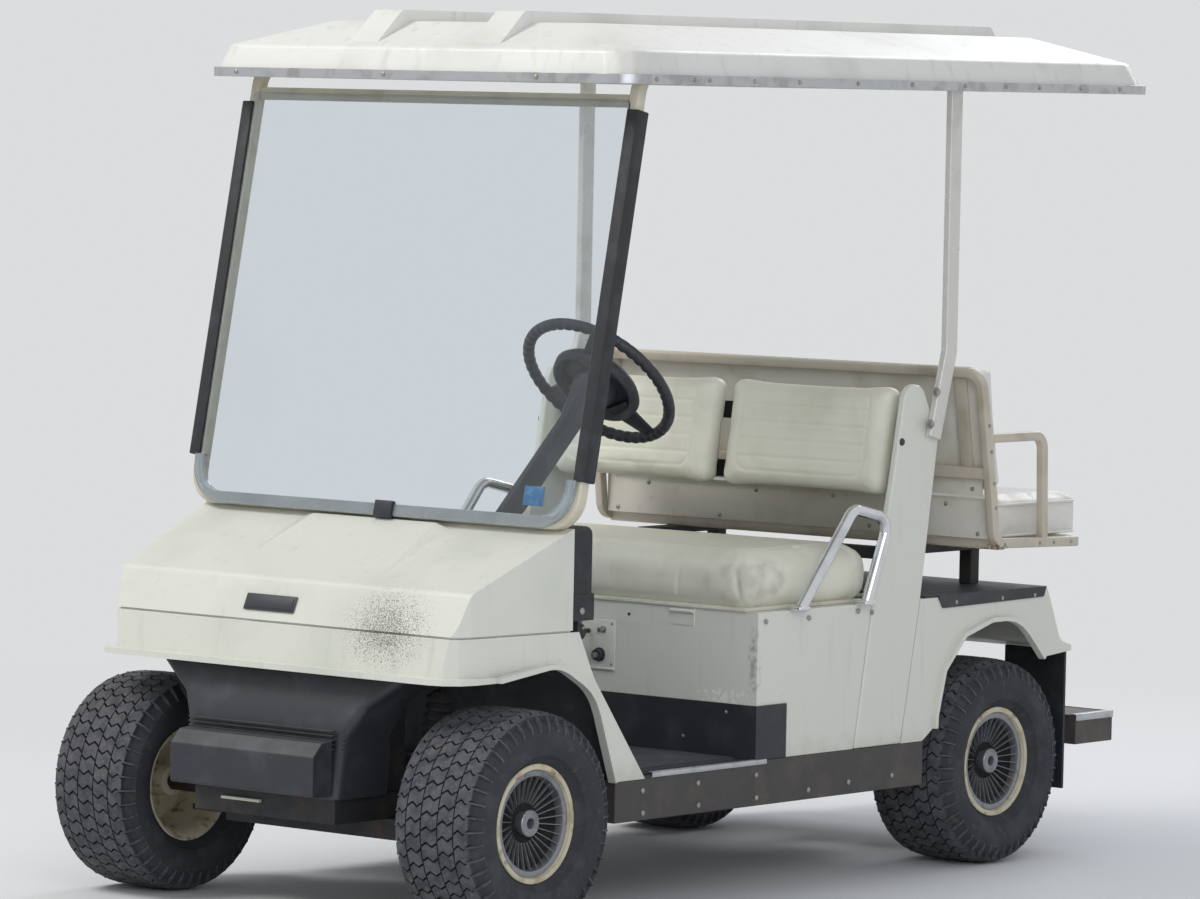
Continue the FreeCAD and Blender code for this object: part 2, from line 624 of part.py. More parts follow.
def hood_rise():
    """Raised middle of the hood: flush at its front edge and highest at the windscreen's foot."""
    rows = []
    front = HOOD_FRONT_Y + 45
    rear = SCREEN_FOOT_Y - HOOP_RADIUS - 8
    for x, y, lift in ((RISE_HALF_WIDTH, front, 0), (RISE_HALF_WIDTH + 8, rear, 0),
                       (RISE_HALF_WIDTH + 8 - RISE_WALL, rear, RISE_HEIGHT)):
        z = HOOD_REAR_Z - (HOOD_REAR_Y - y) * math.tan(HOOD_SLOPE) + lift - 0.4
        rows.append((V(x, y, z), V(-x, y, z)))
    (tip, far_tip), (foot, far_foot), (crest, far_crest) = rows
    outlines = ([tip, foot, far_foot, far_tip], [tip, crest, far_crest, far_tip], [tip, foot, crest],
                [far_tip, far_foot, far_crest], [foot, crest, far_crest, far_foot])
    return Part.Solid(Part.Shell([Part.Face(Part.makePolygon(line + line[:1])) for line in outlines]))


def hood():
    """Upper nose moulding that stands on the lower one at the seam."""
    top = cowl_part(cowl_form(0).cut(cowl_form(PANEL)), HOOD_REAR_Y, (SEAM_Z + SEAM_GAP, HOOD_REAR_Z + 100))
    inner = cowl_form(PANEL).cut(cowl_form(2.5 * PANEL))
    flange = cowl_part(inner, HOOD_REAR_Y, (SEAM_Z + SEAT_GAP, SEAM_Z + 20))
    return fused([top, flange, hood_rise()])


def cowl_band():
    """Rubber bands round the hood's rear corners, each ending in a bracket."""
    y = (HOOD_REAR_Y + SEAT_GAP, HOOD_REAR_Y + BAND_WIDTH)
    half = BODY_HALF_WIDTH - 2
    inner_x = BODY_HALF_WIDTH - BAND_LENGTH
    foot_z = HOOD_REAR_Z - 160
    top_z = HOOD_REAR_Z + 2
    under_z = top_z - 12
    line = [(half, foot_z), (half, top_z), (inner_x, top_z), (inner_x, under_z), (half - 12, under_z),
            (half - 12, foot_z)]
    strap = face([V(x, y[0], z) for x, z in line], [0, 16, 0, 0, 0, 0]).extrude(V(0, y[1] - y[0], 0))
    bracket = block((half - 12, half + 4), (y[0], y[1] + 4), (foot_z - 26, foot_z + 28))
    return pair(fused([strap, bracket]))


def bent_sheet(points, thickness, x):
    """Folded sheet whose outer face follows (y, z) points, its thickness to their left."""
    inner = []
    count = len(points)
    for i, (y, z) in enumerate(points):
        before = V(0, *points[max(i - 1, 0)])
        after = V(0, *points[min(i + 1, count - 1)])
        here = V(0, y, z)
        first = (here - before) if i else (after - here)
        last = (after - here) if i < count - 1 else first
        bisector = (first.normalize() + last.normalize()).normalize()
        normal = V(0, -bisector.z, bisector.y)
        inner.append(here + normal * (thickness / max(0.5, bisector.dot(first))))
    corners = [(y, z, 0) for y, z in points] + [(p.y, p.z, 0) for p in reversed(inner)]
    return side_prism(corners, x)


def dash():
    """Dash panel behind the hood, its ends drawn in, with an open tray and the column's hole."""
    top = HOOD_REAR_Z - 10 - SEAT_GAP
    face_y = HOOD_REAR_Y + DASH_DEPTH
    half = BODY_HALF_WIDTH - 16
    line = [(HOOD_REAR_Y + 2, top), (face_y - 20, top - 8), (face_y, 716), (face_y, 640),
            (TOE_Y, TOE_TOP_Z + SEAT_GAP)]
    skin = bent_sheet(line, -DASH_SHELL, (-half, half))
    taper = [(half + 1, HOOD_REAR_Y + 6, 0), (half - DASH_END_TAPER, face_y + 1, 0), (half + 1, face_y + 1, 0)]
    end = plan_prism(taper, (TOE_TOP_Z, top + 1))
    skin = skin.cut(end).cut(mirrored(end))
    mouth_x = (-half + DASH_END_TAPER + 12, COLUMN_X - 120)
    mouth_z = (652, 712)
    wall = DASH_SHELL
    tray_front = TOE_Y + 20
    tray = block((mouth_x[0] - wall, mouth_x[1] + wall), (tray_front, face_y),
                 (mouth_z[0] - wall, mouth_z[1] + wall))
    mouth = block(mouth_x, (tray_front + wall, face_y + 20), mouth_z)
    centre, up = column_frame()
    hole = bar(centre - up * 600, centre - up * 300, COLUMN_RADIUS + SEAT_GAP)
    return fused([skin, tray]).cut(mouth).cut(hole)


def toe_board():
    """Sloping foot board from the dash down to the floor."""
    half = BODY_HALF_WIDTH - 12
    foot = SILL_FRONT + 40
    low = FLOOR_Z + SEAT_GAP
    outline = [(TOE_Y, TOE_TOP_Z, 0), (TOE_Y, 580, 40), (foot, low, 0), (foot + 12, low, 0),
               (TOE_Y + 8, 584, 32), (TOE_Y + 8, TOE_TOP_Z, 0)]
    return side_prism(outline, (-half, half))


def floor_pan():
    """Flat floor between the toe board and the seat box, with a mat ahead of the seat."""
    half = FLOOR_HALF_WIDTH
    pan = block((-half, half), (SILL_FRONT + 33, KICK_Y + 37), (FLOOR_Z - FLOOR_THICKNESS, FLOOR_Z))
    mat = block((12 - half, half - 12), (SILL_FRONT + 113, KICK_Y - 8),
                (FLOOR_Z - 1, FLOOR_Z + MAT_THICKNESS))
    return fused([pan, mat])


def sills():
    """Side sill boxes below the floor's edges."""
    rear = WHEELBASE - 278
    outline = [(SILL_FRONT, SILL_Z, 0), (rear, SILL_Z, 0), (rear, FLOOR_Z, 0), (KICK_Y, FLOOR_Z, 0),
               (LEG_REAR_Y + 10, LEG_Z - SEAT_GAP, 0), (SILL_FRONT, LEG_Z - SEAT_GAP, 0)]
    return pair(side_prism(outline, (BODY_HALF_WIDTH - SILL_WIDTH, BODY_HALF_WIDTH)))


def nose_apron():
    """Moulded plastic apron under the lip, narrowing to the bumper, with fine ribs across its waist."""
    foot = RAIL_TOP + SEAT_GAP
    rings = []
    for z, wider, back in ((LIP_Z - 5, 126, 54), (440.0, 46, 32), (BUMPER_TOP_Z + 6, 10, 8), (foot, 0, 0)):
        ends = (APRON_FRONT_Y + back, APRON_BACK_Y)
        rings.append(rounded_rectangle(APRON_HALF_WIDTH + wider, ends, z, 22.0))
    return skinned(rings)


def bumper():
    """Bumper block across the apron's foot."""
    back = APRON_FRONT_Y - SEAT_GAP
    half = APRON_HALF_WIDTH - BUMPER_INSET
    outline = [(back, BUMPER_LOW_Z, 0), (BUMPER_FRONT, BUMPER_LOW_Z, 8), (BUMPER_FRONT, BUMPER_EDGE_Z, 8),
               (BUMPER_FRONT + 26, BUMPER_TOP_Z - 2, 6), (back, BUMPER_TOP_Z, 0)]
    return side_prism(outline, (-half, half))


def screen_point(x, share, ahead=0.0):
    """Point in the windscreen's plane, share 0 at its foot and 1 at its top, set ahead of the hoop."""
    slope = V(0, SCREEN_TOP_Y - SCREEN_FOOT_Y, SCREEN_TOP_Z - SCREEN_FOOT_Z)
    normal = V(0, -slope.z, slope.y).normalize()
    return V(x, SCREEN_FOOT_Y, SCREEN_FOOT_Z) + slope * share + normal * ahead


def screen_sheet(x, share, corners, ahead, thickness):
    """Flat sheet in the windscreen's slope, between two x values and two shares of its height."""
    points = [screen_point(x[0], share[0], ahead), screen_point(x[1], share[0], ahead),
              screen_point(x[1], share[1], ahead), screen_point(x[0], share[1], ahead)]
    return face(points, corners).extrude(screen_point(0, 0, ahead + thickness) - screen_point(0, 0, ahead))


def front_hoop():
    """U-shaped tube that holds the windscreen and the canopy's front, with the bar across its top."""
    x = HOOP_HALF_WIDTH
    top = screen_point(x, 1.0)
    end = V(x, top.y + 95, HOOP_TOP_Z)
    knee = V(x, top.y + 10, HOOP_TOP_Z)
    left = [end, knee, screen_point(x, 0.0)]
    right = [V(-p.x, p.y, p.z) for p in reversed(left)]
    hoop = tube(left + right, HOOP_RADIUS, 0.5 * HOOP_CORNER)
    cross = bar(screen_point(-x, 0.985), screen_point(x, 0.985), 9, 8)
    return fused([hoop, cross])


def windscreen():
    """Clear sheet in front of the hoop, its lower corners round."""
    x = HOOP_HALF_WIDTH - 4
    corners = [HOOP_CORNER, HOOP_CORNER, 12, 12]
    return screen_sheet((-x, x), (-0.008, 0.985), corners, HOOP_RADIUS + SEAT_GAP, SCREEN_THICKNESS)


def windscreen_strips():
    """Rubber edge strips down both sides of the windscreen."""
    x = (HOOP_HALF_WIDTH - 26, HOOP_HALF_WIDTH + 16)
    ahead = HOOP_RADIUS + SCREEN_THICKNESS + 2 * SEAT_GAP
    return pair(screen_sheet(x, (0.09, 0.975), [0] * 4, ahead, 9))


def canopy_form(inset):
    """Stepped outer form of the canopy, drawn in by inset."""
    edge = STRIP_THICKNESS + SEAT_GAP
    lip_x = CANOPY_HALF_WIDTH - CANOPY_LIP_INSET
    rows = [
        (CANOPY_HALF_WIDTH - edge, CANOPY_FRONT + edge, CANOPY_REAR - edge, CANOPY_Z + 4, 60.0),
        (lip_x, CANOPY_FRONT + 25, CANOPY_REAR - 33, CANOPY_LIP_Z, 60.0),
        (lip_x - CANOPY_SLOPE_WIDTH, CANOPY_FRONT + 149, CANOPY_REAR - 153, CANOPY_TOP_Z, 40.0),
    ]
    rings = []
    for i, (half, front, rear, z, corner) in enumerate(rows):
        drop = inset if i else 2 * inset
        rings.append(rounded_rectangle(half - inset, (front + inset, rear - inset), z - drop, corner - inset))
    return skinned(rings)


def canopy():
    """Hollow roof moulding with two lengthwise ridges."""
    shell = canopy_form(0).cut(canopy_form(CANOPY_WALL))
    ridge = [(CANOPY_FRONT + 40, CANOPY_LIP_Z + 4, 0), (CANOPY_FRONT + 124, RIDGE_TOP_Z, 0),
             (CANOPY_REAR - 109, RIDGE_TOP_Z, 0), (CANOPY_REAR - 53, CANOPY_LIP_Z + 6, 0)]
    left = side_prism(ridge, (128, 204)).cut(canopy_form(0.5))
    return shell.multiFuse([left, mirrored(left)])


def canopy_strip():
    """Aluminium strip round the canopy's lower edge."""
    rows = []
    for inset, z in ((0, 0), (0, STRIP_HEIGHT), (STRIP_THICKNESS, STRIP_HEIGHT), (STRIP_THICKNESS, 0)):
        y = (CANOPY_FRONT + inset, CANOPY_REAR - inset)
        rows.append(rounded_rectangle(CANOPY_HALF_WIDTH - inset, y, CANOPY_Z + z, 62 - inset))
    return skinned(rows, True)


def canopy_rails():
    """Flat rails and cross bars inside the canopy that tie the hoop to the rear posts."""
    low = HOOP_TOP_Z + HOOP_RADIUS + SEAT_GAP
    outer_x = HOOP_HALF_WIDTH + 12
    run_in = CANOPY_HALF_WIDTH - CANOPY_LIP_INSET - CANOPY_WALL - outer_x
    high = CANOPY_LIP_Z - CANOPY_WALL + run_in * CANOPY_RISE / CANOPY_SLOPE_WIDTH - SEAT_GAP
    run = (SCREEN_TOP_Y + 60, CANOPY_REAR - 230)
    parts = [side_block(side, (HOOP_HALF_WIDTH - 12, outer_x), run, (low, high)) for side in (1, -1)]
    for y in (SCREEN_TOP_Y + 90, POST_Y - 15, CANOPY_REAR - 260):
        parts.append(block((-HOOP_HALF_WIDTH, HOOP_HALF_WIDTH), (y, y + 30), (low + 1, low + 11)))
    return fused(parts)


def rear_posts():
    """Flat posts from the pillars up into the canopy, bent at shoulder height."""
    x = PILLAR_OUTER_X + SEAT_GAP + POST_DEPTH / 2.0
    points = [V(x, POST_Y - 52, 945), V(x, POST_Y, 1130), V(x, POST_Y, HOOP_TOP_Z + HOOP_RADIUS)]
    return pair(flat_tube(points, POST_DEPTH, POST_WIDTH, 60))


def pillars():
    """Side pillars behind the front seat, leaning back, with round tops."""
    foot = FLOOR_Z + SEAT_GAP
    rows = [(339, foot, 0), (395, 596, 0), (457, 858, 300), (495, 1059, 34), (555, 1062, 40), (616, 939, 0),
            (564, 596, 0), (503, foot, 0)]
    outline = [(KICK_Y + y, z, radius) for y, z, radius in rows]
    return pair(side_prism(outline, (PILLAR_INNER_X, PILLAR_OUTER_X)))


def seat_base():
    """Box under the front seat: kick panel, side panels, cushion flange and the seat's hinge barrels."""
    half = BODY_HALF_WIDTH - 2
    foot = FLOOR_Z + SEAT_GAP
    rear = KICK_Y + 393
    line = [(KICK_Y, foot), (rear - 56, foot), (rear, SEAT_BASE_Z), (KICK_Y, SEAT_BASE_Z)]
    sides = side_prism([(y, z, 0) for y, z in line], (half - PANEL, half))
    front = block((-half, half), (KICK_Y, KICK_Y + PANEL), (foot, SEAT_BASE_Z))
    flange = block((-half, half), (KICK_Y, rear), (SEAT_BASE_Z - PANEL, SEAT_BASE_Z))
    flange = flange.cut(block((58 - half, half - 58), (KICK_Y + 50, rear - 43), (0, SEAT_BASE_Z + 10)))
    parts = [front, sides, mirrored(sides), flange]
    hinge_z = SEAT_BASE_Z - SEAT_HINGE_DROP
    for x in (170 - BODY_HALF_WIDTH, BODY_HALF_WIDTH - 230):
        axis = V(x, KICK_Y - 6, hinge_z)
        parts.append(rod(axis, axis + X_AXIS * 60, SEAT_HINGE_RADIUS))
        parts.append(block((x, x + 60), (KICK_Y - 3, KICK_Y + 1), (hinge_z - 30, hinge_z + 4)))
    return fused(parts)


def scuff_strip():
    """Dark kick strip along the seat box's foot, wrapped round its corners."""
    z = (FLOOR_Z + 10, FLOOR_Z + 114)
    half = BODY_HALF_WIDTH - 2
    out = 4.0
    front_y = KICK_Y - out - SEAT_GAP
    front = block((-half - out, half + out), (front_y, KICK_Y - SEAT_GAP), z)
    side = block((half + SEAT_GAP, half + out), (front_y, KICK_Y + 100), z)
    return fused([front, side, mirrored(side)])


def switch_panel():
    """Plate on the kick panel with the key switch and two pull knobs."""
    y = KICK_Y - SEAT_GAP
    parts = [block((20, 118), (y - 3, y), (452, 556))]
    for x, z, radius, length in ((78, 481, 13, 18), (88, 535, 6, 26), (47, 530, 20, 62)):
        parts.append(bar(V(x, y - 1, z), V(x, y - length, z), radius))
    return fused(parts)


def front_cushion():
    """Bench cushion of the front seat on its board."""
    half = BODY_HALF_WIDTH - CUSHION_INSET
    top = CUSHION_Z + CUSHION_HEIGHT
    outline = [(CUSHION_FRONT + 14, CUSHION_Z, 20), (CUSHION_REAR, CUSHION_Z, 14), (CUSHION_REAR, top, 40),
               (CUSHION_FRONT, top - 8, 46)]
    return side_prism(outline, (-half, half))


def leaning(shape):
    """Shape tipped back with the front backrest."""
    shape.rotate(V(0, BACKREST_Y, BACKREST_Z), X_AXIS, -BACKREST_LEAN)
    return shape


def backrests():
    """Two padded backrests of the front seat."""
    top = BACKREST_Z + BACKREST_HEIGHT
    inner = BACKREST_GAP / 2
    outer = BODY_HALF_WIDTH - BACKREST_INSET
    line = [(inner, BACKREST_Z), (outer, BACKREST_Z), (outer, top), (inner, top)]
    pad = face([V(x, BACKREST_Y, z) for x, z in line], [40] * 4).extrude(V(0, BACKREST_THICKNESS, 0))
    return pair(leaning(pad))


def backrest_frame():
    """Cross bars between the pillars that carry the backrests."""
    back = BACKREST_Y + BACKREST_THICKNESS + SEAT_GAP
    half = PILLAR_INNER_X - SEAT_GAP
    bars = []
    for z in (BACKREST_Z + 30, BACKREST_Z + 160):
        bars.append(leaning(block((-half, half), (back, back + 20), (z, z + 36))))
    return Part.makeCompound(bars)


def hip_rails():
    """Chrome hand rails beside the front cushion, on tabs bolted to the seat box."""
    x = HIP_RAIL_X
    foot = SEAT_BASE_Z + 2
    rows = ((129, foot), (306, 803), (428, 775), (353, foot))
    rail = tube([V(x, KICK_Y + y, z) for y, z in rows], HIP_RAIL_RADIUS, 34, 6)
    tabs = []
    across = (BODY_HALF_WIDTH - 2 + SEAT_GAP, x - 4)
    for y in (KICK_Y + 133, KICK_Y + 353):
        tabs.append(block(across, (y - 12, y + 12), (SEAT_BASE_Z - 36, foot + 14)))
    return pair(fused([rail] + tabs))


def rear_body():
    """Rear body moulding: both fenders with their wheel arches, joined by the deck."""
    half = BODY_HALF_WIDTH
    foot = FLOOR_Z + SEAT_GAP
    axle = WHEELBASE
    rear = axle + DECK_REAR
    tail_y = axle + FENDER_TAIL
    arch = [(axle - 243, 315, 0), (axle - 240, 538, 200), (axle + 60, 540, 130), (axle + 159, 445, 0)]
    slope = [(rear + 53, 478, 30), (tail_y, FENDER_TAIL_Z + 12, 0), (tail_y, FENDER_TAIL_Z, 0)]
    outline = [(axle - 360, foot, 0), (axle - 299, DECK_Z, 0), (rear, DECK_Z, 20)] + slope
    plate = side_prism(outline + list(reversed(arch)) + [(axle - 282, foot, 0)], (half - PANEL, half))
    deck = block((-half + 1, half - 1), (axle - 295, rear), (DECK_Z - PANEL, DECK_Z))
    under = [(rear + 41, 470, 30), (rear - 10, DECK_Z - PANEL, 10), (rear - 25, DECK_Z - PANEL, 0)]
    tail = side_prism([(rear - 25, DECK_Z, 0), (rear, DECK_Z, 12)] + slope + under, (-half + 1, half - 1))
    run = [V(half - 3, y, z) for y, z, bend in arch]
    flare = swept(run, [row[2] for row in arch], [(-3, -5), (14, -5), (14, 5), (-3, 5)])
    return fused([plate, mirrored(plate), deck, tail, flare, mirrored(flare)])


def deck_cover():
    """Dark cover over the rear deck with turned-down sides."""
    half = BODY_HALF_WIDTH + SEAT_GAP
    front = WHEELBASE + DECK_FRONT
    rear = WHEELBASE + DECK_REAR - 9
    top = block((-half, half), (front, rear), (DECK_Z + SEAT_GAP, DECK_TOP))
    outline = [(front + 60, DECK_Z - 24, 6), (rear - 10, DECK_Z - 18, 6), (rear, DECK_TOP, 0),
               (front + 40, DECK_TOP, 0)]
    side = side_prism(outline, (half, half + 4))
    return fused([top, side, mirrored(side)])


def mud_flaps():
    """Rubber flaps hanging behind the rear wheels."""
    y = WHEELBASE + FENDER_TAIL - 15
    top = FENDER_TAIL_Z + 1.7
    outer_x = BODY_HALF_WIDTH - 7
    return pair(block((outer_x - FLAP_WIDTH, outer_x), (y, y + 8), (top - FLAP_LENGTH, top)))


def rear_step():
    """Foot step for the rear-facing passengers, on two arms from the chassis."""
    half = BODY_HALF_WIDTH - STEP_INSET
    top = STEP_Z + STEP_HEIGHT
    board = block((-half, half), (STEP_FRONT, STEP_REAR), (STEP_Z, top))
    well = block((-half + PANEL, half - PANEL), (STEP_FRONT + PANEL, STEP_REAR - PANEL),
                 (STEP_Z - 1, top - PANEL))
    reach = (FRAME_REAR + SEAT_GAP, STEP_FRONT + PANEL)
    across = (RAIL_X - RAIL_WIDTH / 2, RAIL_X + RAIL_WIDTH / 2)
    arms = [side_block(side, across, reach, (STEP_Z + 6, REAR_RAIL_TOP)) for side in (1, -1)]
    return fused([board.cut(well)] + arms)


def rear_seat_frame():
    """Tube frame of the rear seat: a hoop each side with an arm rest, joined by cross bars."""
    x = REAR_FRAME_X
    axle = WHEELBASE
    top_z = REAR_FRAME_Z + 382
    side_rows = ((-162, top_z - 12), (-112, 796), (-102, REAR_FRAME_Z - 6), (204, REAR_FRAME_Z - 14))
    arm_rows = ((-140, 944), (72, 944), (80, REAR_FRAME_Z - 2))
    side = flat_tube([V(x, axle + y, z) for y, z in side_rows], FRAME_TUBE, 34, 26)
    arm = flat_tube([V(x, axle + y, z) for y, z in arm_rows], FRAME_TUBE - 4, 24, 30)
    edge = x + FRAME_TUBE / 2
    bars = [
        block((-edge, edge), (axle - 174, axle - 152), (top_z - 34, top_z)),
        block((-x, x), (axle - 120, axle - 98), (800, 836)),
        block((-x, x), (axle - 80, axle - 50), (REAR_FRAME_Z - 22, REAR_FRAME_Z)),
        block((-x, x), (axle + 175, axle + 200), (REAR_FRAME_Z - 22, REAR_FRAME_Z)),
        block((2 - x, x - 2), (axle - 121, axle - 117), (830, 880)),
    ]
    for upright_x in (-180, 180):
        line = [V(upright_x, axle - 156, top_z - 20), V(upright_x, axle - 110, 810)]
        bars.append(flat_tube(line, 30, 16, 0))
    return fused([side, mirrored(side), arm, mirrored(arm)] + bars)


def rear_backrest():
    """Padded backrest of the rear seat, facing the back."""
    outline = [(-107.5, 846, 0), (-48, 842, 18), (-94, 1092, 18), (-149.2, 1090, 0)]
    placed = [(WHEELBASE + y, z, radius) for y, z, radius in outline]
    return side_prism(placed, (-BODY_HALF_WIDTH, BODY_HALF_WIDTH))


def rear_cushion():
    """Padded cushion of the rear seat."""
    low = REAR_CUSHION_Z
    high = low + REAR_CUSHION_HEIGHT
    front = WHEELBASE - REAR_CUSHION_AHEAD + 6
    rear = front - 6 + REAR_CUSHION_DEPTH
    half = BODY_HALF_WIDTH + 16
    return side_prism([(front, low, 18), (rear, low, 22), (rear, high, 30), (front, high, 22)], (-half, half))


def rear_seat_stand():
    """Dark legs and cross channel that carry the rear seat above the deck."""
    parts = []
    foot = DECK_TOP + SEAT_GAP
    head = REAR_FRAME_Z - 22 - SEAT_GAP
    axle = WHEELBASE
    leg_x = (BODY_HALF_WIDTH - 160, BODY_HALF_WIDTH - 128)
    outer_x = leg_x[1] + 10
    for side in (1, -1):
        for y in (axle - 160, axle + 60):
            parts.append(side_block(side, leg_x, (y, y + 32), (foot, head - 5)))
        parts.append(side_block(side, (leg_x[0] - 10, outer_x), (axle - 180, axle + 200), (head - 15, head)))
    parts.append(block((-outer_x, outer_x), (axle - 170, axle - 140), (head - 32, head - 5)))
    return fused(parts)


def column_frame():
    """Centre of the steering wheel and the column's direction towards the driver."""
    tilt = math.radians(COLUMN_TILT)
    return V(COLUMN_X, STEERING_WHEEL_Y, STEERING_WHEEL_Z), V(0, math.cos(tilt), math.sin(tilt))


def steering_column():
    """Covered steering column from the dash up to the wheel, its shaft's end in the hub."""
    centre, up = column_frame()
    top = centre - up * (WHEEL_DISH + SEAT_GAP)
    foot = top - up * COLUMN_LENGTH
    flared = flat_sided([(0, COLUMN_RADIUS), (70, COLUMN_RADIUS + 14)], 10, False)
    cover = set_along(flared, top - up * 70, up)
    shaft = rod(foot - up * 20, foot + up * 10, 0.5 * COLUMN_RADIUS)
    return fused([bar(foot, top, COLUMN_RADIUS), cover, shaft])


def steering_wheel():
    """Three-spoke steering wheel with a padded hub on a round boss."""
    centre, up = column_frame()
    reach = STEERING_WHEEL_RADIUS - STEERING_GRIP_RADIUS
    grip = []
    for k in range(6):
        angle = math.radians(60 * k)
        grip.append((STEERING_GRIP_RADIUS * math.cos(angle), reach + STEERING_GRIP_RADIUS * math.sin(angle)))
    ring = set_along(flat_sided(grip, 18, True), centre, up)
    boss = rod(centre - up * WHEEL_DISH, centre - up * 30, 22)
    hub = set_along(flat_sided([(0, 46), (26, 46), (34, 36)], 10, False), centre - up * 36, up)
    parts = [ring, boss, hub]
    down = up.cross(X_AXIS).normalize()
    for angle in (-20.0, 200.0, 90.0):
        a = math.radians(angle)
        tip = centre + X_AXIS * (reach * math.cos(a)) + down * (reach * math.sin(a))
        parts.append(bar(centre - up * 20, tip, 9, 6))
    return fused(parts)


def pedals():
    """Brake and accelerator pedals standing on the floor's front edge."""
    parts = []
    foot_y = SILL_FRONT + 86
    for inset, width, height in ((308, 60, 70), (158, 56, 120)):
        x = FLOOR_HALF_WIDTH - inset
        lean = 0.35 * height
        outline = [(foot_y, 330, 0), (foot_y + 14, 326, 0), (foot_y + 14 - lean, 326 + height, 0),
                   (foot_y - lean, 330 + height, 0)]
        pad = side_prism(outline, (x, x + width))
        stem_x = x + width / 2
        stem = bar(V(stem_x, foot_y - 4, FLOOR_Z + SEAT_GAP), V(stem_x, foot_y - 4, 345), 7, 6)
        parts.append(fused([pad, stem]))
    return Part.makeCompound(parts)


def wheel_places():
    """Name, centre and whether the wheel is mirrored, for each of the four wheels."""
    places = []
    for end, x, y in (("front", FRONT_WHEEL_X, 0.0), ("rear", REAR_WHEEL_X, WHEELBASE)):
        places.append((end + "_left", V(x, y, TYRE_RADIUS), False))
        places.append((end + "_right", V(-x, y, TYRE_RADIUS), True))
    return places


def all_nodes():
    """Every piece of the cart under its name."""
    nodes = {}
    for kind, make in (("tyre", tyre), ("rim", rim), ("hub_cover", hub_cover)):
        piece = make()
        for name, centre, flip in wheel_places():
            copy = mirrored(piece) if flip else piece.copy()
            copy.translate(centre)
            nodes[kind + "_" + name] = copy
    left = knuckle()
    nodes["knuckle_left"] = left
    nodes["knuckle_right"] = mirrored(left)
    plain = [tie_rod, front_suspension, springs, spring_towers, chassis_frame, rear_axle, engine, cowl_lower,
             hood, cowl_band, dash, toe_board, floor_pan, sills, nose_apron, bumper, front_hoop, windscreen,
             windscreen_strips, canopy, canopy_strip, canopy_rails, rear_posts, pillars, seat_base, scuff_strip,
             switch_panel, front_cushion, backrests, backrest_frame, hip_rails, rear_body, deck_cover, mud_flaps,
             rear_step, rear_seat_frame, rear_backrest, rear_cushion, rear_seat_stand, steering_column,
             steering_wheel, pedals]
    for make in plain:
        nodes[make.__name__] = make()
    return nodes


def main():
    os.makedirs("parts", exist_ok=True)
    for name, shape in all_nodes().items():
        shape.translate(V(0, -MIDDLE_Y, 0))
        shape.exportStep("parts/" + name + ".step")


main()
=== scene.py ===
import json
import math

import bmesh
import bpy
from mathutils import Matrix, Vector


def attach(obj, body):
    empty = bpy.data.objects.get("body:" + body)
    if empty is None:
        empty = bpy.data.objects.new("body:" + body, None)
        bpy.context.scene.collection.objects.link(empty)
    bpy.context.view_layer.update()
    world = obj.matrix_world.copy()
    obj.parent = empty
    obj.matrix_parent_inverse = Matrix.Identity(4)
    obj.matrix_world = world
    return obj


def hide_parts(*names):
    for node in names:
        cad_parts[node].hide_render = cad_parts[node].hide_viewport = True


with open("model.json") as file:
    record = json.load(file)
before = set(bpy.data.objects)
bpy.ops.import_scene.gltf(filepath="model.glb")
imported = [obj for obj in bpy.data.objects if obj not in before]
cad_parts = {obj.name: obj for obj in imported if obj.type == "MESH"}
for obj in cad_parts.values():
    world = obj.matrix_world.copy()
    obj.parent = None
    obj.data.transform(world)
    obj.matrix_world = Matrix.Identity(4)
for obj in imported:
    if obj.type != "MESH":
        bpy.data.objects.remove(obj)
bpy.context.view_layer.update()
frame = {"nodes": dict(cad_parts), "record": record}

# Golf cart with a rear-facing second seat, in metres.
# X is across the cart with its left side at +X, -Y is forward and Z is up from the ground.
# Places are given as stations along Y counted from the front axle, as in the part's own source.

MIDDLE = 0.9415
FRONT_AXLE = 0.0
REAR_AXLE = 1.64
KICK = 0.775
BODY_HALF = 0.5
FLOOR_TOP = 0.29
TYRE_RADIUS = 0.225
HALF_TRACK = {"front": 0.467, "rear": 0.409}
TREAD_BARS = 46
BLADES = 30
SIDES = (1, -1)
ACROSS = Vector((1, 0, 0))
FORWARD = Vector((0, -1, 0))
BACKWARD = Vector((0, 1, 0))
UP = Vector((0, 0, 1))
PALE = "#DCDDDE"


def at(x, station, z):
    """Point from its distance across, its station from the front axle and its height."""
    return Vector((x, station - MIDDLE, z))


def sided(point, side):
    """A point given for the left, on the side asked for."""
    return Vector((side * point.x, point.y, point.z))


def linear(code):
    """An sRGB hex colour as linear red, green, blue and alpha."""
    values = [int(code[i:i + 2], 16) / 255 for i in (1, 3, 5)]
    return [v / 12.92 if v <= 0.04045 else ((v + 0.055) / 1.055) ** 2.4 for v in values] + [1.0]


def add(tree, kind, inputs=None, **settings):
    """Add a shader node; an input that is given as a socket is linked and any other is set."""
    made = tree.nodes.new("ShaderNode" + kind)
    for key, value in settings.items():
        setattr(made, key, value)
    for key, value in (inputs or {}).items():
        if isinstance(value, bpy.types.NodeSocket):
            tree.links.new(value, made.inputs[key])
        else:
            made.inputs[key].default_value = value
    return made


# Patterns: each takes a material's tree and the point on the piece, and gives a share from 0 to 1.


def patches(size, low, high, detail=4.0):
    """Soft patches of a size in metres: 0 below the low level of the noise, 1 above the high one."""
    def share(tree, place):
        noise = add(tree, "TexNoise", {"Vector": place, "Scale": 1.0 / size, "Detail": detail})
        levels = {"Value": noise.outputs["Fac"], "From Min": low, "From Max": high}
        return add(tree, "MapRange", levels).outputs[0]
    return share


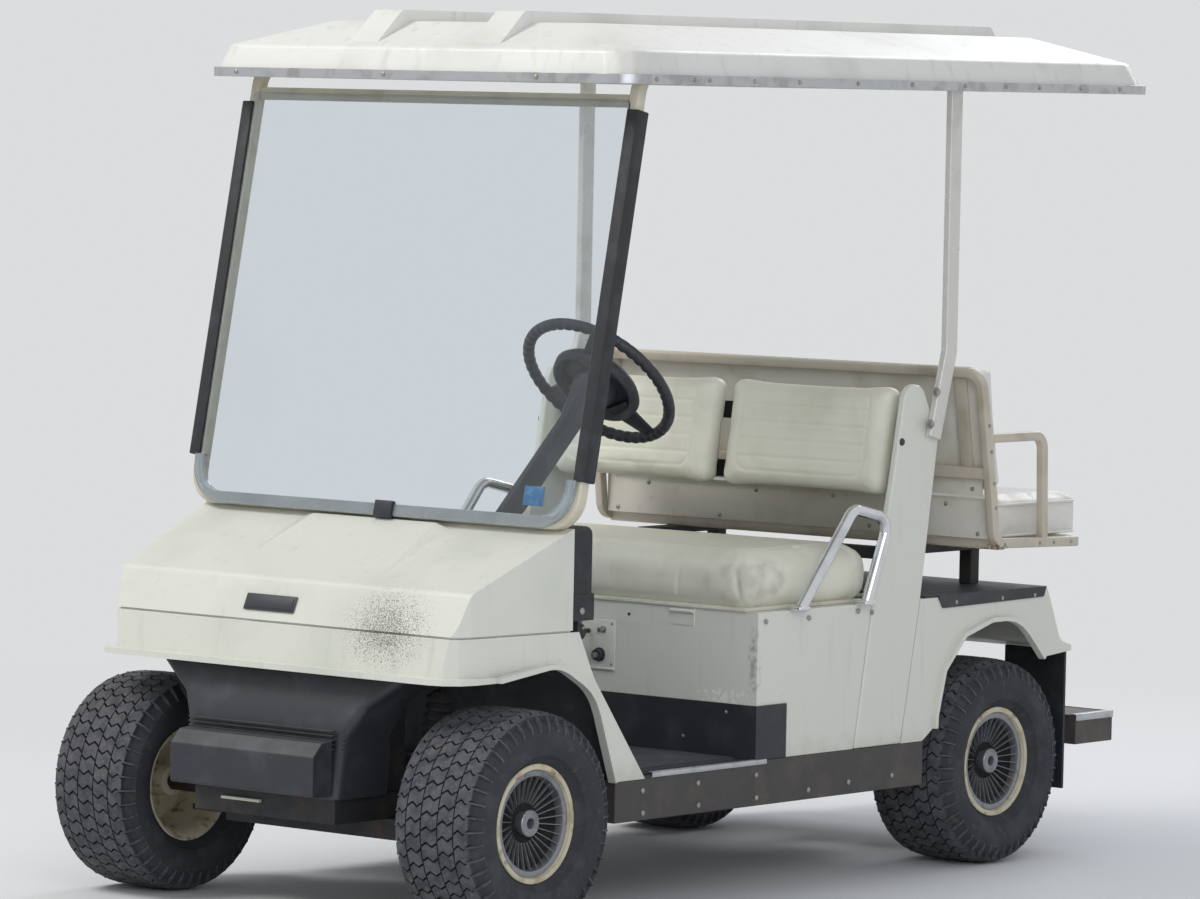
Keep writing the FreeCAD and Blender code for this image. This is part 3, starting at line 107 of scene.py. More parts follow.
def near_point(centre, reach, size, low, high):
    """Specks of a size in metres that thin out away from a point; reach is how far, along each axis."""
    lift = 0.22

    def share(tree, place):
        away = add(tree, "VectorMath", {0: place, 1: centre}, operation="SUBTRACT").outputs["Vector"]
        shrink = [1 / r for r in reach]
        scaled = add(tree, "VectorMath", {0: away, 1: shrink}, operation="MULTIPLY").outputs["Vector"]
        far = add(tree, "VectorMath", {0: scaled}, operation="LENGTH").outputs["Value"]
        fade = add(tree, "MapRange", {"Value": far, "From Min": 1.0, "From Max": 0.2}).outputs["Result"]
        specks = add(tree, "TexNoise", {"Vector": place, "Scale": 1.0 / size, "Detail": 3.0}).outputs["Fac"]
        lifted = add(tree, "Math", {0: fade, 1: lift, 2: specks}, operation="MULTIPLY_ADD").outputs["Value"]
        level = add(tree, "MapRange", {"Value": lifted, "From Min": low, "From Max": high}).outputs["Result"]
        inside = add(tree, "MapRange", {"Value": fade, "From Max": 0.4}).outputs["Result"]
        return add(tree, "Math", {0: level, 1: inside}, operation="MULTIPLY").outputs["Value"]
    return share


def below_height(high, low, size, spread):
    """Share that grows downwards between two heights, with a ragged edge."""
    def share(tree, place):
        height = add(tree, "SeparateXYZ", {"Vector": place}).outputs["Z"]
        noise = add(tree, "TexNoise", {"Vector": place, "Scale": 1.0 / size, "Detail": 5.0}).outputs["Fac"]
        ragged = add(tree, "Math", {0: noise, 1: spread, 2: height}, operation="MULTIPLY_ADD").outputs[0]
        level = add(tree, "Math", {0: ragged, 1: spread / 2}, operation="SUBTRACT").outputs[0]
        return add(tree, "MapRange", {"Value": level, "From Min": high, "From Max": low}).outputs["Result"]
    return share


def dusted_tops(low, high):
    """Share on faces that look upwards."""
    def share(tree, place):
        facing = add(tree, "NewGeometry").outputs["Normal"]
        upward = add(tree, "SeparateXYZ", {"Vector": facing}).outputs["Z"]
        noise = add(tree, "TexNoise", {"Vector": place, "Scale": 40.0, "Detail": 5.0}).outputs["Fac"]
        mixed = add(tree, "Math", {0: noise, 1: 0.5, 2: upward}, operation="MULTIPLY_ADD").outputs["Value"]
        return add(tree, "MapRange", {"Value": mixed, "From Min": low, "From Max": high}).outputs["Result"]
    return share


def rain_streaks(size, low, high):
    """Upright streaks where water ran down: noise drawn out ten times along the height."""
    def share(tree, place):
        drawn = add(tree, "VectorMath", {0: place, 1: (1, 1, 0.1)}, operation="MULTIPLY").outputs["Vector"]
        return patches(size, low, high)(tree, drawn)
    return share


def point_of(tree):
    """The point on the piece that a finish's tree already holds."""
    return next(n for n in tree.nodes if n.type == "TEX_COORD").outputs["Object"]


def finish(name, colour, stain, stain_size, roughness, grain=0.004, relief=0.0002, stain_from=0.5,
           uneven=0.07, **sockets):
    """A material with its own colour, slow stains in a second colour, and a grain that catches light."""
    material = bpy.data.materials.new(name)
    material.use_nodes = True
    tree = material.node_tree
    surface = tree.nodes["Principled BSDF"]
    place = add(tree, "TexCoord").outputs["Object"]
    stains = patches(stain_size, stain_from, stain_from + 0.18, 6.0)(tree, place)
    paint = add(tree, "Mix", {0: stains, 6: linear(colour), 7: linear(stain)}, data_type="RGBA").outputs[2]
    tree.links.new(paint, surface.inputs["Base Color"])
    rubbed = patches(stain_size * 0.4, 0.3, 0.7)(tree, place)
    rough = add(tree, "MapRange",
                {"Value": rubbed, "To Min": roughness - uneven, "To Max": roughness + uneven})
    tree.links.new(rough.outputs["Result"], surface.inputs["Roughness"])
    fine = add(tree, "TexNoise", {"Vector": place, "Scale": 1.0 / grain, "Detail": 2.0})
    bump = add(tree, "Bump", {"Height": fine.outputs["Fac"], "Distance": relief, "Strength": 0.6})
    tree.links.new(bump.outputs["Normal"], surface.inputs["Normal"])
    for key, value in sockets.items():
        surface.inputs[key.replace("_", " ")].default_value = value
    return material


def over(material, pattern, colour, roughness, most=1.0):
    """Lay a second colour over a material where a pattern says, up to a share."""
    tree = material.node_tree
    surface = tree.nodes["Principled BSDF"]
    share = pattern(tree, point_of(tree))
    if most < 1:
        share = add(tree, "Math", {0: share, 1: most}, operation="MULTIPLY").outputs["Value"]
    under = surface.inputs["Base Color"].links[0].from_socket
    paint = add(tree, "Mix", {0: share, 6: under, 7: linear(colour)}, data_type="RGBA").outputs[2]
    tree.links.new(paint, surface.inputs["Base Color"])
    below = surface.inputs["Roughness"].links[0].from_socket
    rough = add(tree, "Mix", {0: share, 2: below, 3: roughness}, data_type="FLOAT").outputs[0]
    tree.links.new(rough, surface.inputs["Roughness"])
    return material


def make_finishes():
    """The cart's finishes by their own names."""
    made = {}
    # ABS moulding, once white: a greyed cream with rain streaks, grime, pale scuffs and a satin skin.
    body = finish("aged_white_abs", "#DCDDD2", "#CFD1C6", 0.35, 0.4, relief=0.00012, Coat_Weight=0.15)
    over(body, rain_streaks(0.03, 0.6, 0.8), "#C2C2B4", 0.6, 0.5)
    over(body, patches(0.0045, 0.72, 0.76, 2.0), "#8F8A78", 0.7, 0.6)
    hood_specks = near_point(at(0.28, -0.14, 0.6), (0.15, 0.3, 0.11), 0.0028, 0.64, 0.76)
    over(body, hood_specks, "#57574F", 0.8, 0.75)
    corner_grime = near_point(at(0.488, 0.775, 0.49), (0.017, 0.026, 0.12), 0.012, 0.57, 0.88)
    over(body, corner_grime, "#6B675D", 0.8, 0.55)
    panel_scuffs = near_point(at(0.415, 0.772, 0.412), (0.12, 0.02, 0.035), 0.012, 0.66, 0.74)
    over(body, panel_scuffs, "#F1F0EA", 0.7, 0.8)
    made["body_plastic"] = over(body, below_height(0.33, 0.2, 0.05, 0.08), "#B5B2A0", 0.7)
    # ABS roof moulding: whiter than the body, with faint rain streaks.
    roof = finish("white_abs_roof", "#E6E5DF", "#DAD9D1", 0.25, 0.4, relief=0.0001, Coat_Weight=0.15)
    made["canopy_plastic"] = over(roof, rain_streaks(0.03, 0.58, 0.8), "#C6C3B6", 0.6, 0.6)
    # Expanded vinyl over foam: yellowed cream, finely grained, soiled grey where legs and hands rub.
    vinyl = finish("cream_grained_vinyl", "#E4E3D2", "#D9D8C6", 0.16, 0.42, 0.0035, 0.0004)
    over(vinyl, patches(0.09, 0.56, 0.78, 3.0), "#BDBDAE", 0.5, 0.35)
    rubbed_corner = near_point(at(0.47, 0.8, 0.66), (0.14, 0.11, 0.055), 0.045, 0.52, 0.8)
    made["cream_vinyl"] = over(vinyl, rubbed_corner, "#A3A498", 0.5, 0.5)
    # The rear seat's vinyl is a cleaner white.
    made["white_vinyl"] = finish("white_grained_vinyl", "#E4E2DB", "#D6D3C9", 0.2, 0.45, 0.0035, 0.0004)
    # Painted plywood boards under and behind the cushions, with brown damp in patches.
    board = finish("painted_plywood_board", "#DAD6CA", "#CBC5B5", 0.12, 0.55, 0.003, 0.0002)
    made["seat_board"] = over(board, patches(0.03, 0.66, 0.8), "#9A8B70", 0.8, 0.35)
    # Natural rubber with carbon black: weathered to a dull grey, dusty in patches.
    tyre = finish("weathered_tyre_rubber", "#303237", "#3D3F43", 0.05, 0.82, 0.003, 0.0003)
    made["tyre_rubber"] = over(tyre, patches(0.02, 0.58, 0.75, 6.0), "#4C4B47", 0.95)
    # The tread's worn faces hold pale dust.
    tread = finish("dusty_tread_rubber", "#55555A", "#414247", 0.03, 0.9, 0.003, 0.0004, 0.42)
    made["worn_tread"] = over(tread, patches(0.008, 0.56, 0.72), "#74726E", 0.95, 0.6)
    # Enamel on pressed steel: cream, rusting in blotches.
    rim = finish("cream_wheel_enamel", "#CDC5AC", "#B5A98A", 0.05, 0.45, 0.004, 0.0002)
    made["rim_enamel"] = over(rim, patches(0.03, 0.56, 0.68, 6.0), "#83603E", 0.85, 0.85)
    # Silver lacquer on moulded plastic, dulled by dust.
    cover = finish("silver_lacquered_plastic", "#8E9094", "#73757A", 0.04, 0.36, 0.003, 0.0001, Metallic=0.6)
    made["hub_cover_plastic"] = over(cover, patches(0.012, 0.58, 0.7), "#6B6458", 0.8, 0.5)
    # Near-black, behind the cover's blades: painted shade where the hollow behind them lies in shadow.
    made["painted_shade_disc"] = finish("hub_painted_shade", "#141517", "#201F1E", 0.04, 0.85)
    # Forged and rolled steel, black with brown rust.
    steel = finish("greasy_axle_steel", "#34312F", "#4A3A2E", 0.05, 0.65, 0.004, 0.0003, Metallic=0.4)
    made["axle_steel"] = over(steel, patches(0.03, 0.56, 0.7, 6.0), "#6B442A", 0.9)
    # Chassis paint: black, flecked with rust, with road dust on its upward faces.
    chassis = finish("dusty_chassis_paint", "#232427", "#37342F", 0.08, 0.6)
    over(chassis, patches(0.02, 0.62, 0.72), "#5A3F2B", 0.9, 0.6)
    made["chassis_paint"] = over(chassis, dusted_tops(0.9, 1.3), "#5A544A", 0.9)
    # Moulded rubber boots, dull black with dust on their upward faces.
    made["boot_rubber"] = over(finish("ribbed_boot_rubber", "#1C1D20", "#2C2B2B", 0.03, 0.8),
                               dusted_tops(0.8, 1.2), "#4F4B44", 0.9, 0.7)
    # Sand-cast aluminium, oxidised grey.
    made["engine_alloy"] = finish("cast_engine_alloy", "#6A6A69", "#4C4843", 0.05, 0.6, 0.002, 0.0005,
                                  Metallic=0.7)
    # Extruded rubber edging, nearly matt, greyed by the sun.
    made["dark_rubber"] = finish("edge_strip_rubber", "#26272B", "#34363A", 0.06, 0.6, 0.003, 0.0001)
    # Black polypropylene, greyed by the sun, scuffed, and dusty on top.
    plastic = finish("greyed_polypropylene", "#2C2E33", "#3C3E44", 0.08, 0.5, 0.002, 0.0002)
    over(plastic, patches(0.004, 0.7, 0.75), "#6F7075", 0.7, 0.5)
    made["dark_plastic"] = over(plastic, dusted_tops(1.05, 1.45), "#5C5E63", 0.7, 0.6)
    # Moulded floor rubber, bluish grey under thin dust.
    made["floor_mat"] = over(finish("dusty_floor_rubber", "#45484D", "#54575B", 0.1, 0.85, 0.004, 0.0005),
                             patches(0.03, 0.58, 0.74, 6.0), "#6C6C69", 0.95, 0.4)
    # Brown-grey paint on the side boxes, scuffed and dusty.
    sill = finish("scuffed_sill_paint", "#45413F", "#544E49", 0.08, 0.55, 0.003, 0.0003)
    made["sill_paint"] = over(sill, patches(0.02, 0.68, 0.8, 6.0), "#857C6E", 0.9, 0.4)
    # Enamel on steel tube: cream with a thin gloss.
    made["cream_paint"] = finish("cream_tube_enamel", "#D3CCB8", "#C3BAA2", 0.07, 0.4, Coat_Weight=0.2)
    # Beige enamel on the rear seat's tubes, rusty at its low front bend, where water stands.
    beige = finish("beige_tube_enamel", "#C6BDAC", "#B5AB97", 0.08, 0.42, Coat_Weight=0.15)
    low_bend = near_point(at(0.55, 1.5, 0.692), (0.12, 0.11, 0.03), 0.01, 0.56, 0.7)
    made["seat_frame_paint"] = over(beige, low_bend, "#7C4F30", 0.9, 0.85)
    # Mill-finish aluminium extrusion: silver with a soft sheen.
    made["aluminium_strip"] = finish("mill_aluminium", "#BFC1C3", "#A9ABAC", 0.04, 0.34, 0.002, 0.0001,
                                     Metallic=0.85)
    # Anodised aluminium tube, a warm pale grey.
    made["post_metal"] = finish("anodised_post_tube", "#D8D6D0", "#C6C3BB", 0.1, 0.32, 0.002, 0.0001,
                                Metallic=0.3)
    # Chromium plate on steel tube: bright, mirrors what stands round it.
    made["chrome"] = finish("chromium_plate", "#DADCDF", "#C9CCD0", 0.06, 0.05, 0.003, 0.00002, uneven=0.03,
                            Metallic=1.0)
    # Clear polycarbonate: faintly blue, with a haze too fine to blur what stands behind it.
    made["clear_sheet"] = finish("clear_polycarbonate", "#EAF1F6", "#E6EEF3", 0.4, 0.012, 0.02, 0.000002,
                                 uneven=0.01, IOR=1.45, Transmission_Weight=1.0)
    # The screen's moulded edging: milky and half clear, a little greyer in patches.
    made["edging"] = finish("milky_edge_moulding", "#D3DCE3", "#C6D0D8", 0.12, 0.09, relief=0.00005,
                            uneven=0.04, IOR=1.5, Transmission_Weight=0.7)
    # Zinc-plated screw heads, dull.
    made["zinc"] = finish("zinc_screw_plating", "#A3A19B", "#87827A", 0.01, 0.4, 0.002, 0.0002, Metallic=0.5)
    # Printed film, faded blue, with nothing on it.
    made["plain_film"] = finish("faded_blue_film", "#3F6D94", "#5C83A3", 0.02, 0.35, 0.003, 0.00005)
    return made


FINISHES = make_finishes()
SLOTS = {part["node"]: part["material_slot"] for part in frame["record"]["subparts"]}


def as_data(mesh, name):
    """Turn a bmesh into a mesh of the file, and let it go."""
    data = bpy.data.meshes.new(name)
    mesh.to_mesh(data)
    mesh.free()
    return data


def stand(name, data):
    """Put a new object in the scene."""
    made = bpy.data.objects.new(name, data)
    bpy.context.scene.collection.objects.link(made)
    return made


def settle(made, finish_name, body, stands_for):
    """Give a piece its material, the body it rides on and the nodes it stands for."""
    made.data.materials.append(FINISHES[finish_name])
    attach(made, body)
    if stands_for:
        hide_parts(*stands_for)


def piece(name, mesh, finish_name, body="cart", stands_for=(), sharp=38, from_cad=False):
    """Close a bmesh, turn its faces outwards, shade it and place it."""
    if not from_cad:
        bmesh.ops.remove_doubles(mesh, verts=mesh.verts, dist=0.00001)
        bmesh.ops.recalc_face_normals(mesh, faces=mesh.faces)
    for each in mesh.faces:
        each.smooth = True
    for edge in mesh.edges:
        edge.smooth = edge.is_manifold and edge.calc_face_angle() < math.radians(sharp)
    made = stand(name, as_data(mesh, name))
    settle(made, finish_name, body, stands_for)
    return made


def edges_of(verts):
    """The edges that meet some corners."""
    return list({e for v in verts for e in v.link_edges})


def only(geom, kind):
    """What is of one kind in the result of a bmesh operator."""
    return [g for g in geom if isinstance(g, kind)]


def bevelled(mesh, geom, width, segments, affect="EDGES", clamp=False):
    """Round edges or corners over a width."""
    bmesh.ops.bevel(mesh, geom=geom, offset=width, affect=affect, segments=segments, profile=0.5, material=-1,
                    clamp_overlap=clamp)


def folds(mesh, least, most):
    """Edges whose two faces meet at an angle between two, in degrees."""
    return [e for e in mesh.edges
            if e.is_manifold and math.radians(least) < e.calc_face_angle() < math.radians(most)]


def moved(mesh, matrix):
    """Carry all that a bmesh holds so far."""
    bmesh.ops.transform(mesh, matrix=matrix, verts=mesh.verts)


def softened(node, width, segments, angle=24, most=180, finish_name=None, arch=0.0, reshape=None):
    """A CAD piece with its edges rounded as moulded or folded ones are; arch rounds its arches first."""
    mesh = bmesh.new()
    mesh.from_mesh(frame["nodes"][node].data)
    if reshape:
        for vert in mesh.verts:
            reshape(vert.co)
    bmesh.ops.remove_doubles(mesh, verts=mesh.verts, dist=0.00002)
    bmesh.ops.dissolve_limit(mesh, angle_limit=math.radians(0.4), verts=mesh.verts, edges=mesh.edges)
    if arch:
        # The folds of an arch run across the cart and are shorter than half a metre.
        bends = [e for e in folds(mesh, 8, 50)
                 if e.calc_length() < 0.5 and abs((e.verts[0].co - e.verts[1].co).normalized().x) > 0.9]
        bevelled(mesh, bends, arch, 4, clamp=True)
    bevelled(mesh, folds(mesh, angle, most), width, segments, clamp=True)
    made = piece(node + "_moulded", mesh, finish_name or SLOTS[node], "cart", (node,), from_cad=True)
    made.modifiers.new("Even shading", "WEIGHTED_NORMAL").keep_sharp = True


def cube(mesh, low, high, width, segments=2):
    """Box between two corners, its edges rounded over a width."""
    middle = (low + high) / 2
    size = Vector([abs(b - a) for a, b in zip(low, high)])
    place = Matrix.Translation(middle) @ Matrix.Diagonal((*size, 1))
    made = bmesh.ops.create_cube(mesh, size=1.0, matrix=place)
    bevelled(mesh, edges_of(made["verts"]), width, segments)


def twin(mesh, low, high, width):
    """A box on each side of the cart, its corners given for the left one."""
    for side in SIDES:
        cube(mesh, sided(low, side), sided(high, side), width)


def ring_frame(start, ahead):
    """Matrix that stands a flat ring at a point, facing along a direction."""
    return Matrix.Translation(start) @ ahead.to_track_quat("Z", "Y").to_matrix().to_4x4()


def disc(mesh, centre, ahead, radius, depth, sides, top=None):
    """Short round post, its far end narrower when a top radius is given."""
    ahead = ahead.normalized()
    bmesh.ops.create_cone(mesh, cap_ends=True, segments=sides, radius1=radius,
                          radius2=radius if top is None else top, depth=depth,
                          matrix=ring_frame(centre + ahead * depth / 2, ahead))


def screw(mesh, centre, ahead, radius):
    """Domed screw head standing on a face."""
    ahead = ahead.normalized()
    disc(mesh, centre, ahead, radius, radius * 0.35, 14)
    disc(mesh, centre + ahead * radius * 0.35, ahead, radius * 0.92, radius * 0.3, 14, radius * 0.5)


def bolt(mesh, centre, ahead, radius):
    """Hexagon bolt head on a washer."""
    ahead = ahead.normalized()
    disc(mesh, centre, ahead, radius * 1.35, 0.0015, 18)
    disc(mesh, centre + ahead * 0.0015, ahead, radius, radius * 0.7, 6, radius * 0.94)


def side_heads(mesh, x, places, radius, head=screw):
    """Heads of screws or bolts on both sides of the cart, at (station, z) places."""
    for side in SIDES:
        for station, z in places:
            head(mesh, at(side * x, station, z), ACROSS * side, radius)


def front_screws(mesh, station, places, radius):
    """Screws that face the front, at (x, z) places and again on the other side."""
    for side in SIDES:
        for x, z in places:
            screw(mesh, at(side * x, station, z), FORWARD, radius)


def tube_ring(mesh, start, ahead, section, sides):
    """First ring of a tube: a circle of a radius, or a rectangle of two widths with rounded corners."""
    place = ring_frame(start, ahead)
    if isinstance(section, float):
        made = bmesh.ops.create_circle(mesh, cap_ends=True, segments=sides, radius=section, matrix=place)
        return made["verts"][0].link_faces[0]
    widths = Matrix.Diagonal((*section, 1, 1))
    turn = Matrix.Rotation(math.pi / 4, 4, "Z")
    made = bmesh.ops.create_circle(mesh, cap_ends=True, segments=4, radius=math.sqrt(0.5),
                                   matrix=place @ widths @ turn)
    bevelled(mesh, list(made["verts"][0].link_faces[0].verts), min(section) * 0.2, 4, "VERTICES")
    return next(iter(mesh.faces))


def bent_tube(mesh, points, section, bend, sides=24, closed=False):
    """Tube along straight runs and round bends of one radius; its section is a radius or two widths."""
    work = bmesh.new()
    face = tube_ring(work, points[0], (points[1] - points[0]).normalized(), section, sides)
    verts = list(face.verts)
    edges = list(face.edges)
    if closed:
        bmesh.ops.delete(work, geom=[face], context="FACES_ONLY")
    here = points[0].copy()
    for i in range(1, len(points)):
        stop = points[i]
        inner = i < len(points) - 1
        if inner:
            back = (points[i - 1] - points[i]).normalized()
            on = (points[i + 1] - points[i]).normalized()
            half = back.angle(on) / 2
            reach = bend / math.tan(half)
            stop = points[i] + back * reach
        grown = bmesh.ops.extrude_edge_only(work, edges=edges)["geom"]
        verts, edges = only(grown, bmesh.types.BMVert), only(grown, bmesh.types.BMEdge)
        bmesh.ops.translate(work, verts=verts, vec=stop - here)
        here = stop
        if inner:
            centre = points[i] + (back + on).normalized() * bend / math.sin(half)
            angle = math.pi - 2 * half
            # One step for each nine degrees of the bend.
            last = bmesh.ops.spin(work, geom=verts + edges, cent=centre, axis=(-back).cross(on).normalized(),
                                  angle=angle, steps=max(3, round(angle / math.radians(9))))["geom_last"]
            verts, edges = only(last, bmesh.types.BMVert), only(last, bmesh.types.BMEdge)
            here = points[i] + on * reach
    if not closed:
        bmesh.ops.contextual_create(work, geom=edges)
    data = as_data(work, "run")
    mesh.from_mesh(data)
    bpy.data.meshes.remove(data)


def revolve(mesh, profile, centre, side, steps=72, axis=ACROSS, out=UP):
    """Form turned about a line, from (along, radius) points round its section."""
    verts = [mesh.verts.new(centre + axis * side * along + out * reach) for along, reach in profile]
    edges = [mesh.edges.new((verts[i], verts[(i + 1) % len(verts)])) for i in range(len(verts))]
    bmesh.ops.spin(mesh, geom=verts + edges, cent=centre, axis=axis, angle=math.tau, steps=steps,
                   use_merge=True)


def carried_round(mesh, placed, count, centre, start):
    """Turn a form made at the origin to its first place on a wheel, then copy it round the axle."""
    turn = Matrix.Translation(centre) @ Matrix.Rotation(start, 4, "X")
    bmesh.ops.transform(mesh, matrix=turn, verts=placed)
    geom = placed + edges_of(placed) + list({f for v in placed for f in v.link_faces})
    bmesh.ops.spin(mesh, geom=geom, cent=centre, axis=ACROSS, angle=math.tau * (count - 1) / count,
                   steps=count - 1, use_duplicate=True)


def wheel_places():
    """Name, centre, outward side and body of each wheel."""
    for end, station in (("front", FRONT_AXLE), ("rear", REAR_AXLE)):
        for side, word in zip(SIDES, ("left", "right")):
            centre = at(side * HALF_TRACK[end], station, TYRE_RADIUS)
            yield end + "_" + word, centre, side, end + "_wheel_" + word


def crown_height(x):
    """Radius of the tread's face at a distance from the tyre's middle."""
    middle_half = 0.052
    middle_drop = 0.0012
    if x < middle_half:
        return TYRE_RADIUS - middle_drop * (x / middle_half) ** 2
    return TYRE_RADIUS - middle_drop - 0.011 * ((x - middle_half) / 0.05) ** 2


def tread_row(mesh, centre, side, x, half_width, phase):
    """One row of waved blocks: the first is drawn as its foot, raised to the worn face and carried round."""
    length = 0.0128
    wave = 0.0042
    depth = 0.0095
    taper = 1.06
    foot = []
    for across, along in ((-1, -1), (-1 / 3, 1), (1 / 3, -1), (1, 1)):
        foot.append((across, -length + wave * along))
    for across, along in ((1, 1), (1 / 3, -1), (-1 / 3, 1), (-1, -1)):
        foot.append((across, length + wave * along))
    corners = [mesh.verts.new((side * (x + across * half_width), along * taper, 0)) for across, along in foot]
    for corner in corners:
        corner.co.z = crown_height(abs(corner.co.x)) - depth
    grown = bmesh.ops.extrude_face_region(mesh, geom=[mesh.faces.new(corners)])["geom"]
    worn = only(grown, bmesh.types.BMVert)
    for corner in worn:
        corner.co.z += depth
        corner.co.y /= taper
    for face in only(grown, bmesh.types.BMFace):
        face.material_index = 1
    carried_round(mesh, corners + worn, TREAD_BARS, centre, phase * math.tau / TREAD_BARS)


def shoulder_bars(mesh, centre, side):
    """Narrow bars that run from the tread's edge a little way down the shoulder."""
    half = 0.0015
    # Distance from the tyre's middle, outer and inner radius at each ring of the bar.
    rings = ((0.083, 0.2215, 0.206), (0.097, 0.2145, 0.2), (0.1048, 0.201, 0.19), (0.1066, 0.193, 0.185))
    x, high, low = rings[0]
    corners = [mesh.verts.new((side * x, along, height)) for along, height in
               ((-half, high), (half, high), (half * 1.4, low), (-half * 1.4, low))]
    made = list(corners)
    end = mesh.faces.new(corners)
    for x, high, low in rings[1:]:
        grown = bmesh.ops.extrude_face_region(mesh, geom=[end])["geom"]
        corners = only(grown, bmesh.types.BMVert)
        end = only(grown, bmesh.types.BMFace)[0]
        upper = max(c.co.z for c in corners)
        for corner in corners:
            corner.co.x = side * x
            corner.co.z = high if corner.co.z > upper - 0.001 else low
        made += corners
    for face in {f for v in made for f in v.link_faces}:
        face.material_index = 1
    carried_round(mesh, made, TREAD_BARS, centre, 0.5 * math.tau / TREAD_BARS)


def tyres():
    """Turf tyres: round carcass with a ring line, five staggered rows of blocks, and shoulder bars."""
    section = [(0.0735, 0.1105), (0.08, 0.1195), (0.088, 0.127), (0.0975, 0.136), (0.101, 0.1375),
               (0.103, 0.1405), (0.1075, 0.156), (0.1078, 0.17), (0.1055, 0.184), (0.1065, 0.186),
               (0.1045, 0.1885), (0.1, 0.198), (0.092, 0.207), (0.075, 0.2125), (0.052, 0.2155), (0.0, 0.2165)]
    section += [(-x, r) for x, r in reversed(section[:-1])]
    # Middle, half width and stagger of each row.
    rows = ((0.0, 0.02, 0.0), (0.0415, 0.0185, 0.5), (-0.0415, 0.0185, 0.5), (0.078, 0.015, 0.0),
            (-0.078, 0.015, 0.0))
    for name, centre, side, body in wheel_places():
        mesh = bmesh.new()
        revolve(mesh, section, centre, side, 96)
        for x, half_width, phase in rows:
            tread_row(mesh, centre, side, x, half_width, phase)
        for shoulder in SIDES:
            shoulder_bars(mesh, centre, shoulder)
        made = piece("tyre_tread_" + name, mesh, "tyre_rubber", body, ("tyre_" + name,), 30)
        made.data.materials.append(FINISHES["worn_tread"])


def cover_blades(mesh, centre, side):
    """Thin blades that rise from deep behind the cover's boss out to its ring."""
    foot = [mesh.verts.new((side * x, offset, 0.04)) for x, offset in
            ((0.05, -0.0007), (0.05, 0.0007), (0.0565, 0.0006), (0.0565, -0.0006))]
    grown = bmesh.ops.extrude_face_region(mesh, geom=[mesh.faces.new(foot)])["geom"]
    tip = only(grown, bmesh.types.BMVert)
    for corner in tip:
        corner.co.x = side * (0.07 if abs(corner.co.x) < 0.053 else 0.0765)
        corner.co.z = 0.0945
    carried_round(mesh, foot + tip, BLADES, centre, 0.0)


def wheels():
    """Pressed rims with rolled flanges, turbine covers with thin blades, and a near-black disc of painted
    shade behind the blades.
    """
    # Sections, as distances out from the wheel's middle and radii.
    rim = [(-0.085, 0.1185), (-0.0835, 0.12), (-0.081, 0.1185), (-0.0735, 0.11), (-0.07, 0.1035),
           (-0.05, 0.1), (-0.02, 0.088), (0.02, 0.088), (0.05, 0.1), (0.07, 0.1035), (0.0735, 0.11),
           (0.081, 0.1185), (0.0835, 0.12), (0.0855, 0.1185), (0.0855, 0.1165), (0.085, 0.109),
           (0.078, 0.108), (0.0765, 0.106),
           (0.072, 0.1005), (0.052, 0.096), (0.034, 0.086), (0.03, 0.06), (0.024, 0.034),
           (0.044, 0.03), (0.044, 0.013), (-0.032, 0.013), (-0.032, 0.03), (0.018, 0.034), (0.022, 0.06),
           (0.016, 0.083), (-0.02, 0.083), (-0.052, 0.096), (-0.068, 0.0995), (-0.085, 0.1165)]
    ring = [(0.074, 0.1066), (0.0778, 0.107), (0.0792, 0.1058), (0.0798, 0.1005), (0.0786, 0.095),
            (0.0762, 0.0936), (0.056, 0.0925), (0.056, 0.095)]
    boss = [(0.044, 0.02), (0.066, 0.0272), (0.0715, 0.0272), (0.0732, 0.0255), (0.0728, 0.0112),
            (0.0705, 0.0102), (0.054, 0.01), (0.044, 0.01)]
    # The last section is the near-black disc behind the blades: painted shade for the wheel's hollow.
    ground = [(0.047, 0.092), (0.06, 0.093), (0.052, 0.08), (0.049, 0.06), (0.0485, 0.0005),
              (0.047, 0.0005)]
    for name, centre, side, body in wheel_places():
        mesh = bmesh.new()
        revolve(mesh, rim, centre, side)
        piece("wheel_rim_" + name, mesh, "rim_enamel", body, ("rim_" + name,), 50)
        mesh = bmesh.new()
        revolve(mesh, ring, centre, side)
        revolve(mesh, boss, centre, side, 40)
        cover_blades(mesh, centre, side)
        piece("turbine_cover_" + name, mesh, "hub_cover_plastic", body, ("hub_cover_" + name,), 40)
        # Painted shade: a near-black disc behind the blades, where the hollow of the wheel lies in shadow.
        mesh = bmesh.new()
        revolve(mesh, ground, centre, side, 48)
        piece("painted_shade_disc_" + name, mesh, "painted_shade_disc", body)


def spring_boots():
    """Ribbed rubber boots round the dampers of both axles."""
    ribs = 9
    rod = 0.009
    mesh = bmesh.new()
    # Foot, head and rib radius of the left-hand units.
    for foot, head, radius in ((at(0.272, 0.0, 0.2763), at(0.3, 0.008, 0.4847), 0.0305),
                               (at(0.232, 1.632, 0.262), at(0.226, 1.61, 0.5187), 0.034)):
        length = (head - foot).length
        pitch = 0.8 * length / ribs
        profile = [(0.0, 0.0005), (0.0, rod), (0.1 * length, rod)]
        for i in range(ribs):
            low = 0.1 * length + i * pitch
            profile += [(low, 0.74 * radius), (low + 0.3 * pitch, radius), (low + 0.6 * pitch, radius)]
        profile += [(0.9 * length, 0.7 * radius), (0.92 * length, 0.6 * radius), (0.92 * length, rod),
                    (length, rod), (length, 0.0005)]
        for side in SIDES:
            start = sided(foot, side)
            axis = (sided(head, side) - start).normalized()
            revolve(mesh, profile, start, 1, 32, axis, axis.cross(BACKWARD).normalized())
    piece("damper_boots", mesh, "boot_rubber", "cart", ("springs",), 50)


